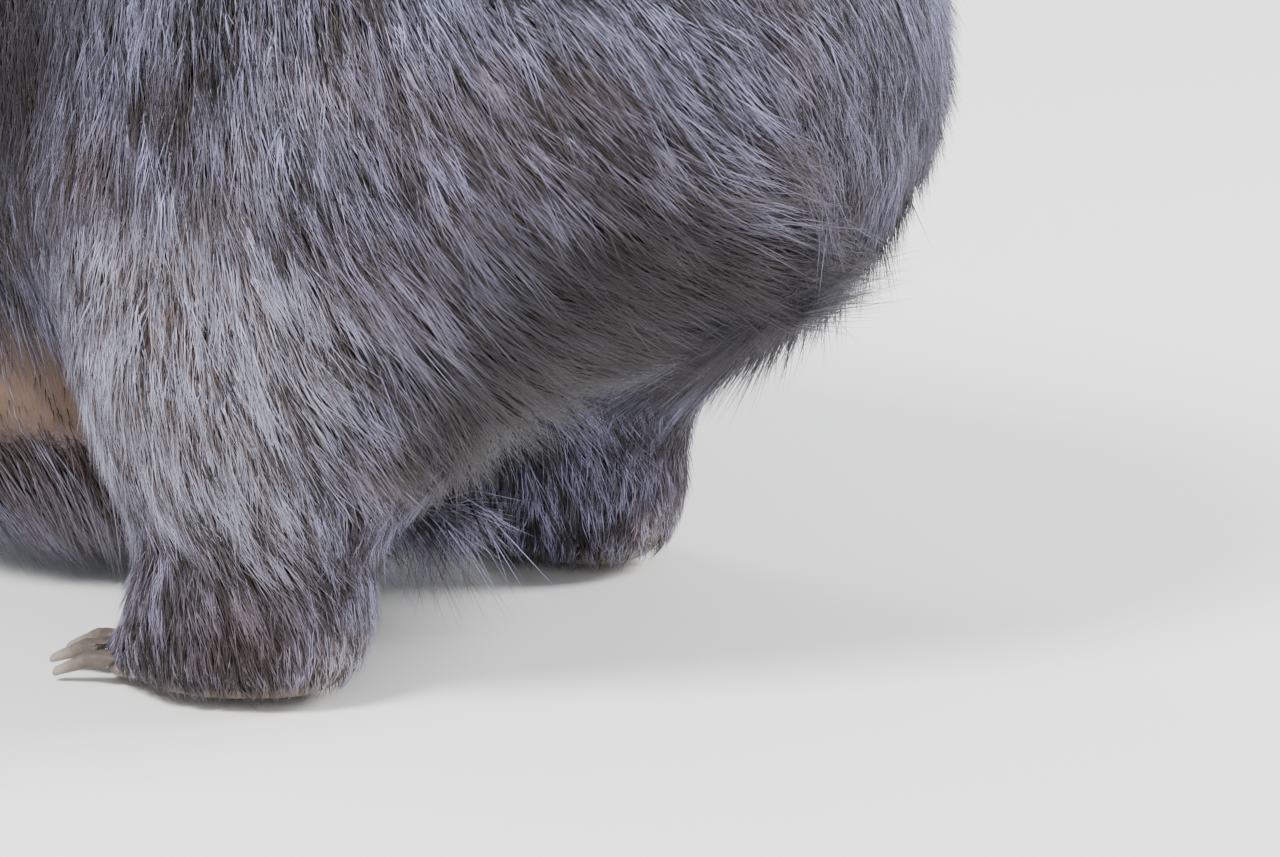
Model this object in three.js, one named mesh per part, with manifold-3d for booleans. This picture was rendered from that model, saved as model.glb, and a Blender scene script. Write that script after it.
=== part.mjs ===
// A common wombat, an adult female, standing on all four feet: a life-size still model.
// Millimetres, +Z up. The animal faces -Y, its left side is +X, and it stands on the plane z = 0.
// The flesh, out to the tips of the coat, is one smooth field blended from ellipsoids and tapered
// limbs. Each named part is cast from that field round its own axis, and thin cuts part them.
import * as THREE from "three";
import { mergeVertices } from "three/addons/utils/BufferGeometryUtils.js";
import Module from "manifold-3d";

const wasm = await Module();
wasm.setup();

// Driving dimensions
const BODY_LENGTH = 980; // nose to rump
const BACK_HEIGHT = 385; // floor to the top of the rump
const BODY_WIDTH = 330; // across the barrel
const HEAD_LENGTH = 225; // nose to the back of the skull
const HEAD_PITCH = 14; // degrees that the nose dips
const HEAD_YAW = 8; // degrees that the head turns to its left
const EAR_HEIGHT = 58;
const EAR_WIDTH = 60; // round its cup
const EAR_WALL = 4.2;
const EYE_RADIUS = 9;
const FORE_CLAW = 27;
const HIND_CLAW = 21;
const TAIL_LENGTH = 26;
const GAP = 0.35; // between parts that touch
const STANCE = { hindleg_left: 238, hindleg_right: 214, foreleg_left: -205, foreleg_right: -232 };
const HIND = { out: 120, ankle: 56, claw: HIND_CLAW };
const FORE = { out: 106, ankle: 54, claw: FORE_CLAW };

// Maths
const { PI, abs, max, min, sin, cos, hypot } = Math;
const radians = (degrees) => (degrees * PI) / 180;
const mix = (a, b, t) => a + (b - a) * t;
const vec = (x, y, z) => new THREE.Vector3(x, y, z);
const range = (count) => [...Array(count).keys()];

// Evenly spread values from a to b, both included
const spread = (a, b, count) => range(count).map((i) => mix(a, b, i / (count - 1)));

// Evenly spread angles round a full turn
const evenTurns = (count) => range(count).map((i) => (2 * PI * (i + 0.5)) / count);

// A place on the trunk: across in half widths, along in body lengths and up in back heights
const at = (across, along, up) => [
  (across * BODY_WIDTH) / 2,
  along * BODY_LENGTH,
  up * BACK_HEIGHT,
];

// A place or a size on the head, in shares of its length, in the head's own frame
const share = (...shares) => shares.map((s) => s * HEAD_LENGTH);
const onHead = (...shares) => vec(...share(...shares));

// Fields. Each is a function of a point that is negative inside and about a distance outside.
const ellipsoid = ([cx, cy, cz], [rx, ry, rz]) => (x, y, z) => {
  const a = (x - cx) / rx;
  const b = (y - cy) / ry;
  const c = (z - cz) / rz;
  const near = max(hypot(a, b, c), 1e-6);
  return (near * (near - 1)) / (hypot(a / rx, b / ry, c / rz) + 1e-9);
};

// Two balls joined by the cone between them
const limb = ([ax, ay, az], ra, [bx, by, bz], rb) => {
  const [dx, dy, dz] = [bx - ax, by - ay, bz - az];
  const long2 = dx * dx + dy * dy + dz * dz;
  return (x, y, z) => {
    const t = ((x - ax) * dx + (y - ay) * dy + (z - az) * dz) / long2;
    const s = min(1, max(0, t));
    return hypot(x - ax - s * dx, y - ay - s * dy, z - az - s * dz) - mix(ra, rb, s);
  };
};

// Fields joined, with the crease between them filled over about the reach
const blend = (reach, ...fields) => (x, y, z) => {
  let d = fields[0](x, y, z);
  for (let i = 1; i < fields.length; i++) {
    const e = fields[i](x, y, z);
    const h = max(reach - abs(d - e), 0) / reach;
    d = min(d, e) - (h * h * reach) / 4;
  }
  return d;
};

const mirrored = (field) => (x, y, z) => field(-x, y, z);
const both = (field) => (x, y, z) => min(field(x, y, z), field(-x, y, z));

// A field set in another frame, by the matrix that takes a point back into the field's own frame
const seenBy = (field, back) => {
  const e = back.elements;
  return (x, y, z) =>
    field(
      e[0] * x + e[4] * y + e[8] * z + e[12],
      e[1] * x + e[5] * y + e[9] * z + e[13],
      e[2] * x + e[6] * y + e[10] * z + e[14],
    );
};

// The way out of the flesh at a point, from the field's change over a short step
function outward(field, { x, y, z }) {
  const step = 0.5;
  return vec(
    field(x + step, y, z) - field(x - step, y, z),
    field(x, y + step, z) - field(x, y - step, z),
    field(x, y, z + step) - field(x, y, z - step),
  ).normalize();
}

// Where a ray from inside the flesh comes out of it, or its end if it is still inside at its reach
function skinPoint(field, from, way, reach = 400) {
  const step = 3;
  const spot = (t) => from.clone().addScaledVector(way, t);
  const outside = (t) => {
    const { x, y, z } = spot(t);
    return field(x, y, z) > 0;
  };
  let far = 0;
  while (far < reach && !outside(far)) far += step;
  if (far >= reach) return spot(reach);
  let near = max(0, far - step);
  for (const _ of range(14)) {
    const middle = (near + far) / 2;
    if (outside(middle)) far = middle;
    else near = middle;
  }
  return spot(near);
}

// Solids
function solidOf(geometry) {
  const bare = new THREE.BufferGeometry();
  bare.setAttribute("position", geometry.getAttribute("position"));
  bare.setIndex(geometry.index);
  const merged = mergeVertices(bare, 1e-4);
  return new wasm.Manifold(
    new wasm.Mesh({
      numProp: 3,
      vertProperties: new Float32Array(merged.attributes.position.array),
      triVerts: new Uint32Array(merged.index.array),
    }),
  );
}

function geometryOf(solid) {
  const mesh = solid.getMesh();
  const geometry = new THREE.BufferGeometry();
  geometry.setAttribute("position", new THREE.BufferAttribute(mesh.vertProperties, 3));
  geometry.setIndex(new THREE.BufferAttribute(mesh.triVerts, 1));
  return geometry;
}

// The largest closed surface of a solid, without the scraps that a cut can leave
const largest = (solid) => solid.decompose().sort((a, b) => b.volume() - a.volume())[0];

// A solid with every corner moved out along its normal
function swelled(solid, distance) {
  const geometry = geometryOf(solid);
  geometry.computeVertexNormals();
  const { position, normal } = geometry.attributes;
  for (const i of range(position.count)) {
    const corner = vec().fromBufferAttribute(position, i);
    corner.addScaledVector(vec().fromBufferAttribute(normal, i), distance);
    position.setXYZ(i, ...corner);
  }
  return solidOf(geometry);
}

// A solid cut back from its neighbour, so that their faces follow each other with the gap between
const clearOf = (solid, neighbour) => solid.subtract(neighbour).subtract(swelled(neighbour, GAP));

// The faces that close a ring of corners, in a strip from side to side
function capOf(ring) {
  const faces = [];
  for (let i = 0, j = ring.length - 1; i < j - 1; i++, j--) {
    faces.push([ring[i], ring[i + 1], ring[j]]);
    if (i + 1 < j - 1) faces.push([ring[i + 1], ring[j - 1], ring[j]]);
  }
  return faces;
}

// A closed form through rings of points, all of one count, or a single point at either end
function shellOf(rings) {
  const ids = [];
  let first = 0;
  for (const ring of rings) {
    ids.push(range(ring.length).map((i) => first + i));
    first += ring.length;
  }
  const faces = [...capOf(ids.at(-1)), ...capOf([...ids[0]].reverse())];
  for (const s of range(rings.length - 1)) {
    const [a, b] = [ids[s], ids[s + 1]];
    const sides = max(a.length, b.length);
    for (const i of range(sides)) {
      const j = (i + 1) % sides;
      if (a.length > 1) faces.push([a[i], a[j], b[j % b.length]]);
      if (b.length > 1) faces.push([a[i % a.length], b[j], b[i]]);
    }
  }
  const positions = rings.flat().flatMap((p) => p.toArray());
  const solidFrom = (index) => {
    const geometry = new THREE.BufferGeometry();
    geometry.setAttribute("position", new THREE.Float32BufferAttribute(positions, 3));
    geometry.setIndex(index.flat());
    return solidOf(geometry);
  };
  const solid = solidFrom(faces);
  return solid.volume() > 0 ? solid : solidFrom(faces.map(([a, b, c]) => [b, a, c]));
}

// A form through sections, each a middle with two half axes, or a middle alone at a pointed end
const sweep = (sections, sides) =>
  shellOf(
    sections.map(({ middle, across, up }) => {
      if (!across) return [middle];
      return evenTurns(sides).map((turn) =>
        middle.clone().addScaledVector(across, cos(turn)).addScaledVector(up, sin(turn)),
      );
    }),
  );

// Locks of the coat. Each is flat and tapered, with thin edges and a low ridge. It is rooted under
// the skin where its ray comes out, lies along the coat, then bends off it and ends in a point.
const LOCK_SINK = 7;
const LOCK_THICKNESS = 4.5;

// Even draws from 0 to 1, the same in every run
const draws = (seed) => () => {
  seed = (seed * 16807) % 2147483647;
  return seed / 2147483647;
};
const draw = draws(31);

function lockOf(field, { from, way, lie, length, width, lift }) {
  const root = skinPoint(field, from, way);
  const out = outward(field, root);
  const strayed = lie.clone().applyAxisAngle(out, radians(mix(-13, 13, draw())));
  const flow = strayed.projectOnPlane(out).normalize();
  const across = flow.clone().cross(out);
  const reach = length * mix(0.85, 1.15, draw());
  const rise = lift * mix(0.6, 1.3, draw());
  const sections = [0, 0.4, 0.76, 1].map((t, i) => {
    const free = root.clone().addScaledVector(flow, t * reach).addScaledVector(out, rise * t * t);
    const near = free.clone().addScaledVector(outward(field, free), -field(...free));
    const middle = near.lerp(free, t).addScaledVector(out, -LOCK_SINK * (1 - t) ** 5);
    if (t === 1) return { middle };
    const side = across.clone().multiplyScalar(width * [0.3, 0.38, 0.24][i]);
    const ridge = out.clone().multiplyScalar(LOCK_THICKNESS * [0.35, 0.4, 0.3][i]);
    return { middle, across: side.clone().add(ridge), up: ridge.clone().sub(side) };
  });
  return sweep(sections, 4);
}

// A part fused with the locks that grow from it
const withLocks = (solid, field, locks) =>
  largest(locks.reduce((sum, lock) => sum.add(lockOf(field, lock)), solid));

// A straight round bar between two places
function bar(from, to, radius, sides = 8) {
  const way = to.clone().sub(from).normalize();
  const across = vec(0.02, 0, 1).cross(way).setLength(radius);
  const up = way.clone().cross(across);
  return sweep([from, to].map((middle) => ({ middle, across, up })), sides);
}

// The field's surface round an axis. Each station is a middle with the two directions that its rays
// turn between, u and v. The ends are the ways from the first and last middle to a pointed end.
function castOf(field, stations, turns, { reach, ends = [] } = {}) {
  const rings = stations.map(({ middle, u, v }) =>
    turns.map((turn) => {
      const way = u.clone().multiplyScalar(cos(turn)).addScaledVector(v, sin(turn));
      return skinPoint(field, middle, way, reach);
    }),
  );
  const [start, end] = ends;
  if (start) rings.unshift([skinPoint(field, stations[0].middle, start)]);
  if (end) rings.push([skinPoint(field, stations.at(-1).middle, end)]);
  return shellOf(rings);
}

const X = vec(1, 0, 0);
const Y = vec(0, 1, 0);
const Z = vec(0, 0, 1);
const along = (y, height = 0) => ({ middle: vec(0, y, height), u: X, v: Z });
const level = (x, y, z) => ({ middle: vec(x, y, z), u: X, v: Y });

// Flesh of the trunk: chest, barrel, rump, shoulders, haunches, withers and the root of the neck
const trunk = blend(
  60,
  ellipsoid(at(0, -0.155, 0.575), [138, 182, 128]),
  ellipsoid(at(0, 0.04, 0.612), [168, 275, 146]),
  ellipsoid(at(0, 0.268, 0.648), [164, 200, 141]),
  both(ellipsoid(at(0.46, -0.195, 0.57), [66, 96, 96])),
  both(ellipsoid(at(0.6, 0.287, 0.53), [68, 92, 108])),
  ellipsoid(at(0, -0.16, 0.76), [88, 180, 52]),
  limb(at(0, -0.24, 0.635), 108, at(0, -0.322, 0.622), 84),
);

// The full pouch hangs low between the hind legs, wide in front of them and narrow between them.
const pouchFlesh = blend(
  34,
  ellipsoid(at(0, 0.062, 0.262), [104, 104, 78]),
  ellipsoid(at(0, 0.165, 0.235), [53, 112, 64]),
);

// Legs, round the middle of their own foot
const hindLeg = (foot) => {
  const x = HIND.out;
  return blend(
    30,
    ellipsoid([x - 4, foot + 13, 140], [58, 69, 80]),
    limb([x - 4, foot - 2, 120], 60, [x - 4, foot + 8, 50], 42),
    limb([x - 4, foot + 28, 27], 27, [x + 2, foot - 6, 20], 27),
    ellipsoid([x + 3, foot - 9, 19], [33, 32, 21]),
  );
};

const foreLeg = (foot) => {
  const x = FORE.out;
  return blend(
    30,
    limb([x - 22, foot + 4, 190], 68, [x + 2, foot + 30, 122], 54),
    limb([x + 2, foot + 30, 122], 50, [x, foot + 12, 52], 36),
    ellipsoid([x, foot + 2, 24], [37, 38, 26]),
  );
};

// Toes, by the angle that each spreads at, how far it starts and ends from the foot's middle, and
// its radius. The small inner toe of the hind foot has no claw.
const FORE_TOES = [-36, -17, 1, 19, 38].map((angle, i) => ({
  angle,
  start: 18,
  end: [37, 43, 46, 43, 37][i],
  radius: [9, 9.5, 10, 9.5, 9][i],
}));
const HIND_TOES = [-22, -2, 16, 36].map((angle, i) => ({
  angle,
  start: 18,
  end: [38, 42, 39, 33][i],
  radius: [9, 9.5, 9, 8.5][i],
}));
const INNER_TOE = { angle: -60, start: 12, end: 29, radius: 7 };

// A toe set in its own foot
const toeOf = ({ side, foot }, { angle, start, end, radius }) => {
  const way = vec(sin(radians(angle)) * side, -cos(radians(angle)), 0);
  const from = foot.clone().addScaledVector(way, start).setZ(1.3 * radius);
  const tip = foot.clone().addScaledVector(way, end).setZ(radius - 1.5);
  return { angle, from, tip, radius };
};

const legs = Object.entries(STANCE).map(([name, y]) => {
  const hind = name.startsWith("hind");
  const side = name.endsWith("left") ? 1 : -1;
  const kind = hind ? HIND : FORE;
  const field = (hind ? hindLeg : foreLeg)(y);
  const foot = hind ? vec(side * (kind.out + 3), y - 12, 0) : vec(side * kind.out, y, 0);
  return { name, y, hind, side, foot, ...kind, field: side > 0 ? field : mirrored(field) };
});

// The room of a leg: a dome over its joint with the trunk, and straight sides down past the floor
function roomOf({ hind, side, y }, grow = 0) {
  const top = hind ? vec(side * 124, y + 4, 172) : vec(side * 114, y + 18, 158);
  const [rx, ry, rz] = (hind ? [74, 104, 74] : [68, 76, 62]).map((r) => r + grow);
  const dome = spread(0, PI / 2, 6).map((turn) => new THREE.Vector2(cos(turn), rz * sin(turn)));
  const depth = -top.z - 60;
  const profile = [new THREE.Vector2(0, depth), new THREE.Vector2(1, depth), ...dome];
  profile.at(-1).x = 0;
  const room = new THREE.LatheGeometry(profile, 22).rotateX(PI / 2).scale(rx, ry, 1);
  return solidOf(room.translate(...top));
}

// The head's own frame: x left, y back and z up, with the origin in the middle of the skull
const headFrame = new THREE.Matrix4()
  .makeTranslation(...at(0, -0.4, 0.628))
  .multiply(new THREE.Matrix4().makeRotationZ(radians(HEAD_YAW)))
  .multiply(new THREE.Matrix4().makeRotationX(radians(HEAD_PITCH)));

// Skull, forehead, cheeks, snout, its blunt end, upper lips, jaw, chin and brow ridges
const skull = blend(
  20,
  ellipsoid(share(0, 0.11, 0.045), share(0.36, 0.37, 0.28)),
  ellipsoid(share(0, -0.12, 0.075), share(0.275, 0.29, 0.195)),
  both(ellipsoid(share(0.165, -0.01, -0.1), share(0.215, 0.31, 0.25))),
  ellipsoid(share(0, -0.28, 0.005), share(0.205, 0.225, 0.19)),
  ellipsoid(share(0, -0.39, -0.04), share(0.19, 0.115, 0.165)),
  both(ellipsoid(share(0.085, -0.4, -0.125), share(0.108, 0.105, 0.075))),
  limb(share(0, 0.07, -0.2), 0.155 * HEAD_LENGTH, share(0, -0.27, -0.215), 0.095 * HEAD_LENGTH),
  ellipsoid(share(0, -0.35, -0.245), share(0.105, 0.085, 0.06)),
  both(ellipsoid(share(0.165, -0.17, 0.15), share(0.075, 0.11, 0.05))),
);
const nosePad = blend(
  8,
  ellipsoid(share(0, -0.485, 0.015), share(0.1, 0.062, 0.085)),
  both(ellipsoid(share(0.08, -0.472, 0.012), share(0.06, 0.058, 0.066))),
  ellipsoid(share(0, -0.493, -0.065), share(0.042, 0.042, 0.04)),
);

const body = blend(46, trunk, ...legs.map((leg) => leg.field));
const flesh = blend(46, body, seenBy(skull, headFrame.clone().invert()));
const headFlesh = seenBy(flesh, headFrame);

// Torso, with the rump's stations closing up towards its rearmost point
const AXIS = 0.64 * BACK_HEIGHT; // the height of the trunk's middle
const BELLY_HEIGHT = 0.23 * BACK_HEIGHT; // floor to the belly, where the torso ends between the legs
const NECK_ROOT = -0.298 * BODY_LENGTH;
const NAPE = 0.2 * HEAD_LENGTH;
const RUMP = 0.3 * BODY_LENGTH;
const RUMP_DEPTH = 0.174 * BODY_LENGTH;

function makeTorso() {
  const front = spread(NECK_ROOT, RUMP, 15);
  const rump = spread(0, PI / 2, 8).slice(1, -1).map((turn) => RUMP + RUMP_DEPTH * sin(turn));
  const stations = [...front, ...rump].map((y) => along(y, AXIS));
  const legless = (x, y, z) => max(body(x, y, z), BELLY_HEIGHT - z);
  const whole = castOf(legless, stations, evenTurns(34), { ends: [null, Y] });
  const coat = withLocks(whole, body, [...flankLocks(), ...rumpLocks(), ...chestLocks()]);
  return legs.reduce((solid, leg) => solid.subtract(roomOf(leg, GAP)), coat);
}

// The fringe along the lower edge of each flank, in two staggered rows between the legs
function flankLocks() {
  return [1, -1].flatMap((side) => {
    const [fore, hind] = [false, true].map((rear) =>
      legs.find((leg) => leg.hind === rear && leg.side === side),
    );
    return [17, 33].flatMap((dip, row) =>
      spread(fore.y + 116 - 10 * row, hind.y - 116 + 10 * row, 8).map((y) => ({
        from: vec(0, y, AXIS),
        way: vec(side * cos(radians(dip)), 0, -sin(radians(dip))),
        lie: vec(0, 0.25, -1),
        length: 56,
        width: 38,
        lift: 6,
      })),
    );
  });
}

// The fringe round the rear and the underside of the rump. Each row is how far it dips, how far it
// fans out to each side, and its count of locks.
function rumpLocks() {
  return [[3, 62, 8], [18, 58, 9], [33, 46, 7]].flatMap(([dip, fan, count]) =>
    spread(-fan, fan, count).map((turn) => {
      const [down, round] = [radians(dip), radians(turn)];
      return {
        from: vec(0, RUMP, AXIS),
        way: vec(sin(round) * cos(down), cos(round) * cos(down), -sin(down)),
        lie: vec(0, 0.4, -1),
        length: 58,
        width: 44,
        lift: 5,
      };
    }),
  );
}

// The fringe under the chest, in front of the forelegs
function chestLocks() {
  return spread(-18, 18, 5).map((turn) => ({
    from: vec(0, -0.25 * BODY_LENGTH, AXIS),
    way: vec(sin(radians(turn)), -0.15, -cos(radians(turn))),
    lie: vec(0, 1, -0.2),
    length: 46,
    width: 28,
    lift: 9,
  }));
}

// Neck, its stations turning from the trunk's direction to the head's
function makeNeck() {
  const root = new THREE.Matrix4().makeTranslation(0, NECK_ROOT - GAP, AXIS);
  const nape = headFrame.clone().multiply(new THREE.Matrix4().makeTranslation(0, NAPE + GAP, 0));
  const [p, q] = [root, nape].map((frame) => vec().setFromMatrixPosition(frame));
  const [a, b] = [root, nape].map((frame) => new THREE.Quaternion().setFromRotationMatrix(frame));
  const stations = spread(0, 1, 4).map((t) => {
    const turn = a.clone().slerp(b, t);
    return {
      middle: p.clone().lerp(q, t),
      u: X.clone().applyQuaternion(turn),
      v: Z.clone().applyQuaternion(turn),
    };
  });
  return castOf(flesh, stations, evenTurns(34));
}

// A leg, from its ankle to the dome of its room
function makeLeg(leg) {
  const stations = spread(leg.ankle + GAP, 262, 9).map((z) => {
    const lean = (leg.hind ? -4 : 22) * min(1, (z - leg.ankle) / 90);
    return level(leg.foot.x, leg.y + 6 + lean, z);
  });
  const fringe = spread(-40, 40, 4).map((turn) => ({
    from: vec(leg.foot.x, leg.y + 6, leg.ankle + 62),
    way: vec(sin(radians(turn)), cos(radians(turn)), -0.1),
    lie: vec(0, 0.2, -1),
    length: leg.hind ? 54 : 46,
    width: leg.hind ? 30 : 25,
    lift: 5,
  }));
  const bare = castOf(body, stations, evenTurns(20), { reach: 130 }).intersect(roomOf(leg));
  return withLocks(bare, leg.field, fringe);
}

// A foot, from its flat sole to the ankle. Most rays go to the front, where the toes are.
const FOOT_TURNS = [
  ...spread(-158, -22, 28).map(radians),
  ...spread(-22, 202, 13).slice(1, -1).map(radians),
];

function makeFoot(leg, toes) {
  const digits = toes.map(({ from, tip, radius }) =>
    limb(from.toArray(), 1.3 * radius, tip.toArray(), radius),
  );
  const field = blend(6, leg.field, ...digits);
  const heights = [0, 3, 8, 14, 21, 34, leg.ankle];
  const stations = heights.map((z) => level(leg.foot.x, leg.foot.y, z));
  return castOf(field, stations, FOOT_TURNS, { reach: 130 });
}

// A claw: long, blunt and a little hooked, half as splayed as its toe
function makeClaw({ side, claw }, { angle, tip, radius }) {
  const turn = radians(angle * 0.5);
  const way = vec(sin(turn) * side, -cos(turn), 0);
  const across = vec(-way.y, way.x, 0);
  const sections = [0, 0.5, 1].map((t) => {
    const middle = tip.clone().addScaledVector(way, t * (claw + radius));
    middle.z = 0.95 * radius + 2.5 + 5 * t - 12 * t * t;
    return {
      middle,
      across: across.clone().multiplyScalar(mix(5, 2.3, t)),
      up: vec(0, 0, mix(5.6, 2, t)),
    };
  });
  return sweep(sections, 6);
}

// Pouch: the sack, a puckered rim round its mouth at the rear, and the hollow just inside it
function makePouch(neighbours) {
  const mouth = vec(...at(0, 0.25, 0.185));
  const stations = spread(-0.03 * BODY_LENGTH, mouth.y, 9).map((y) => along(y, mouth.z));
  const sack = castOf(pouchFlesh, stations, evenTurns(22), { ends: [Y.clone().negate()] });
  const [width, height, lip, folds] = [30, 18, 7.5, 9];
  const rim = new THREE.TorusGeometry(1, 0.3, 7, 3 * folds).rotateX(PI / 2);
  const { position } = rim.attributes;
  for (const i of range(position.count)) {
    const p = vec().fromBufferAttribute(position, i);
    const round = p.clone().setY(0);
    const pucker = 1 + 0.07 * cos(folds * Math.atan2(p.z, p.x));
    const out = ((round.length() - 1) * lip) / 0.3;
    round.normalize();
    position.setXYZ(
      i,
      round.x * pucker * (width + out),
      (p.y * lip) / 0.3,
      round.z * pucker * (height + out),
    );
  }
  const hollow = new THREE.SphereGeometry(1, 16, 8).scale(width - 2, 42, height - 2);
  const solid = sack
    .subtract(solidOf(hollow.translate(...mouth)))
    .add(solidOf(rim.translate(...mouth)));
  return neighbours.reduce(clearOf, solid);
}

// Head, made in its own frame, with its stations closing up towards the blunt end of the muzzle
const MUZZLE = -0.3 * HEAD_LENGTH;
const MUZZLE_DEPTH = 0.2 * HEAD_LENGTH;

function makeHead() {
  const front = spread(0, PI / 2, 7).slice(1, -1).map((turn) => MUZZLE - MUZZLE_DEPTH * sin(turn));
  const stations = [...spread(NAPE, MUZZLE, 10), ...front].map((y) => along(y, -0.05 * HEAD_LENGTH));
  const cheeks = [1, -1].flatMap((side) =>
    [-14, 8, 30].map((dip) => ({
      from: onHead(0, 0, -0.06),
      way: vec(side * cos(radians(dip)), 0, -sin(radians(dip))),
      lie: vec(0, 1, -0.2),
      length: 36,
      width: 32,
      lift: 4,
    })),
  );
  const bare = castOf(headFlesh, stations, evenTurns(34), { ends: [null, Y.clone().negate()] });
  return withLocks(bare, headFlesh, cheeks);
}

// Where each eye sits, and the way it looks
const eyes = [1, -1].map((side) => {
  const skin = skinPoint(headFlesh, onHead(0, -0.18, 0.03), vec(side * 0.84, -0.34, 0.28).normalize());
  const axis = outward(headFlesh, skin);
  const turn = new THREE.Quaternion().setFromUnitVectors(Z, axis);
  return { side, axis, turn, middle: skin.addScaledVector(axis, -0.6 * EYE_RADIUS) };
});

const eyeBall = ({ middle, turn }, radius) =>
  solidOf(new THREE.SphereGeometry(radius, 12, 8).applyQuaternion(turn).translate(...middle));

// The lids ring the eye, longer along the head than they are high.
const lidsOf = ({ middle, turn, axis }) =>
  solidOf(
    new THREE.TorusGeometry(0.92 * EYE_RADIUS, 0.34 * EYE_RADIUS, 7, 16)
      .scale(0.9, 1.22, 1)
      .applyQuaternion(turn)
      .translate(...middle.clone().addScaledVector(axis, 0.42 * EYE_RADIUS)),
  );

// The line of the mouth: a groove round the muzzle, from corner to corner, and the cleft above it
function mouthLine() {
  const middle = onHead(0, -0.27, -0.16);
  const groove = spread(-108, 108, 15).map((degrees) => {
    const turn = radians(degrees);
    const way = vec(sin(turn), -cos(turn), -0.14 - 0.16 * (1 - cos(turn))).normalize();
    const skin = skinPoint(headFlesh, middle, way);
    return {
      middle: skin,
      across: outward(headFlesh, skin).multiplyScalar(3.6),
      up: vec(0, 0, mix(0.9, 1.8, cos(turn / 2))),
    };
  });
  const cleft = bar(onHead(0, -0.535, -0.09), onHead(0, -0.5, -0.2), 1.8, 6);
  return sweep(groove, 6).add(cleft);
}

// Nose: a broad bare pad with a curled nostril at each side and a groove down its middle
function makeNose(head) {
  const stations = spread(-0.45, -0.53, 6).map((y) => along(y * HEAD_LENGTH, 0.005 * HEAD_LENGTH));
  const pad = castOf(nosePad, stations, evenTurns(24), { ends: [Y, Y.clone().negate()] });
  const cuts = [1, -1].flatMap((side) => {
    const [inner, outer] = [onHead(side * 0.048, -0.56, -0.01), onHead(side * 0.056, -0.52, -0.008)];
    const [front, rear] = [onHead(side * 0.058, -0.54, -0.018), onHead(side * 0.15, -0.485, -0.028)];
    return [bar(inner, outer, 3.8), bar(front, rear, 2.4)];
  });
  cuts.push(bar(onHead(0, -0.552, -0.11), onHead(0, -0.55, 0.02), 1.7, 6));
  return cuts.reduce((solid, cut) => solid.subtract(cut), clearOf(pad, head));
}

// An ear: a short rounded leaf, bent into a cup that opens forwards and outwards
function makeEar(side) {
  const root = skinPoint(headFlesh, onHead(0, 0.1, 0.02), vec(side * 0.7, 0.08, 0.7).normalize());
  const upright = vec(side * 0.45, 0.16, 1).normalize();
  const across = upright.clone().cross(vec(side * 0.55, -1, 0)).normalize();
  const back = upright.clone().cross(across).normalize();
  const point = (u, v, inside) => {
    const half = (EAR_WIDTH / 2) * (1 - u ** 2.6) ** 0.6 * mix(0.8, 1, min(1, 3 * u));
    const bend = radians(mix(74, 40, u));
    const radius = half / bend;
    const wall = inside * EAR_WALL * (1 - 0.55 * abs(v) ** 3) * (1 - 0.4 * u);
    return root
      .clone()
      .addScaledVector(across, (radius - wall) * sin(v * bend))
      .addScaledVector(back, (radius - wall) * cos(v * bend) - radius * cos(bend) + 7 * u * u)
      .addScaledVector(upright, mix(-14, EAR_HEIGHT, u));
  };
  const sides = spread(-1, 1, 8);
  const rings = [0, 0.2, 0.38, 0.55, 0.7, 0.83, 0.93, 0.98].map((u) => [
    ...sides.map((v) => point(u, v, 0)),
    ...sides.map((v) => point(u, -v, 1)),
  ]);
  return shellOf(rings);
}

// Tail: a short stub that hangs close to the rump
function makeTail() {
  const root = skinPoint(body, vec(...at(0, 0.3, 0.48)), Y);
  const out = outward(body, root);
  const down = out.clone().cross(X);
  const sections = [0, 0.5, 1].map((t) => ({
    middle: root.clone().addScaledVector(out, mix(-7, 4, t)).addScaledVector(down, t * TAIL_LENGTH),
    across: X.clone().multiplyScalar(mix(13, 5, t)),
    up: out.clone().multiplyScalar(mix(9, 3.5, t)),
  }));
  return sweep(sections, 10);
}

// Finishes
const finish = (color, roughness) =>
  new THREE.MeshStandardMaterial({ color, roughness, metalness: 0 });
const COAT = finish("#5d5552", 0.9);
const BELLY = finish("#6b574b", 0.9);
const NOSE = finish("#3b3335", 0.55);
const EYE = finish("#120d0b", 0.1);
const HORN = finish("#4a423b", 0.5);

// A named mesh whose own origin is at the pivot that it is placed by
function meshOf(name, solid, material, pivot = vec(0, 0, 0)) {
  const geometry = geometryOf(largest(solid)).translate(-pivot.x, -pivot.y, -pivot.z);
  const mesh = new THREE.Mesh(geometry, material);
  mesh.name = name;
  mesh.position.copy(pivot);
  return mesh;
}

const animal = new THREE.Group();
const torso = makeTorso();
animal.add(meshOf("torso", torso, COAT, vec(0, 0, AXIS)));
animal.add(meshOf("neck", makeNeck(), COAT, vec(0, NECK_ROOT, AXIS)));
animal.add(meshOf("tail", clearOf(makeTail(), torso), COAT, vec(0, RUMP, AXIS)));

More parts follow.
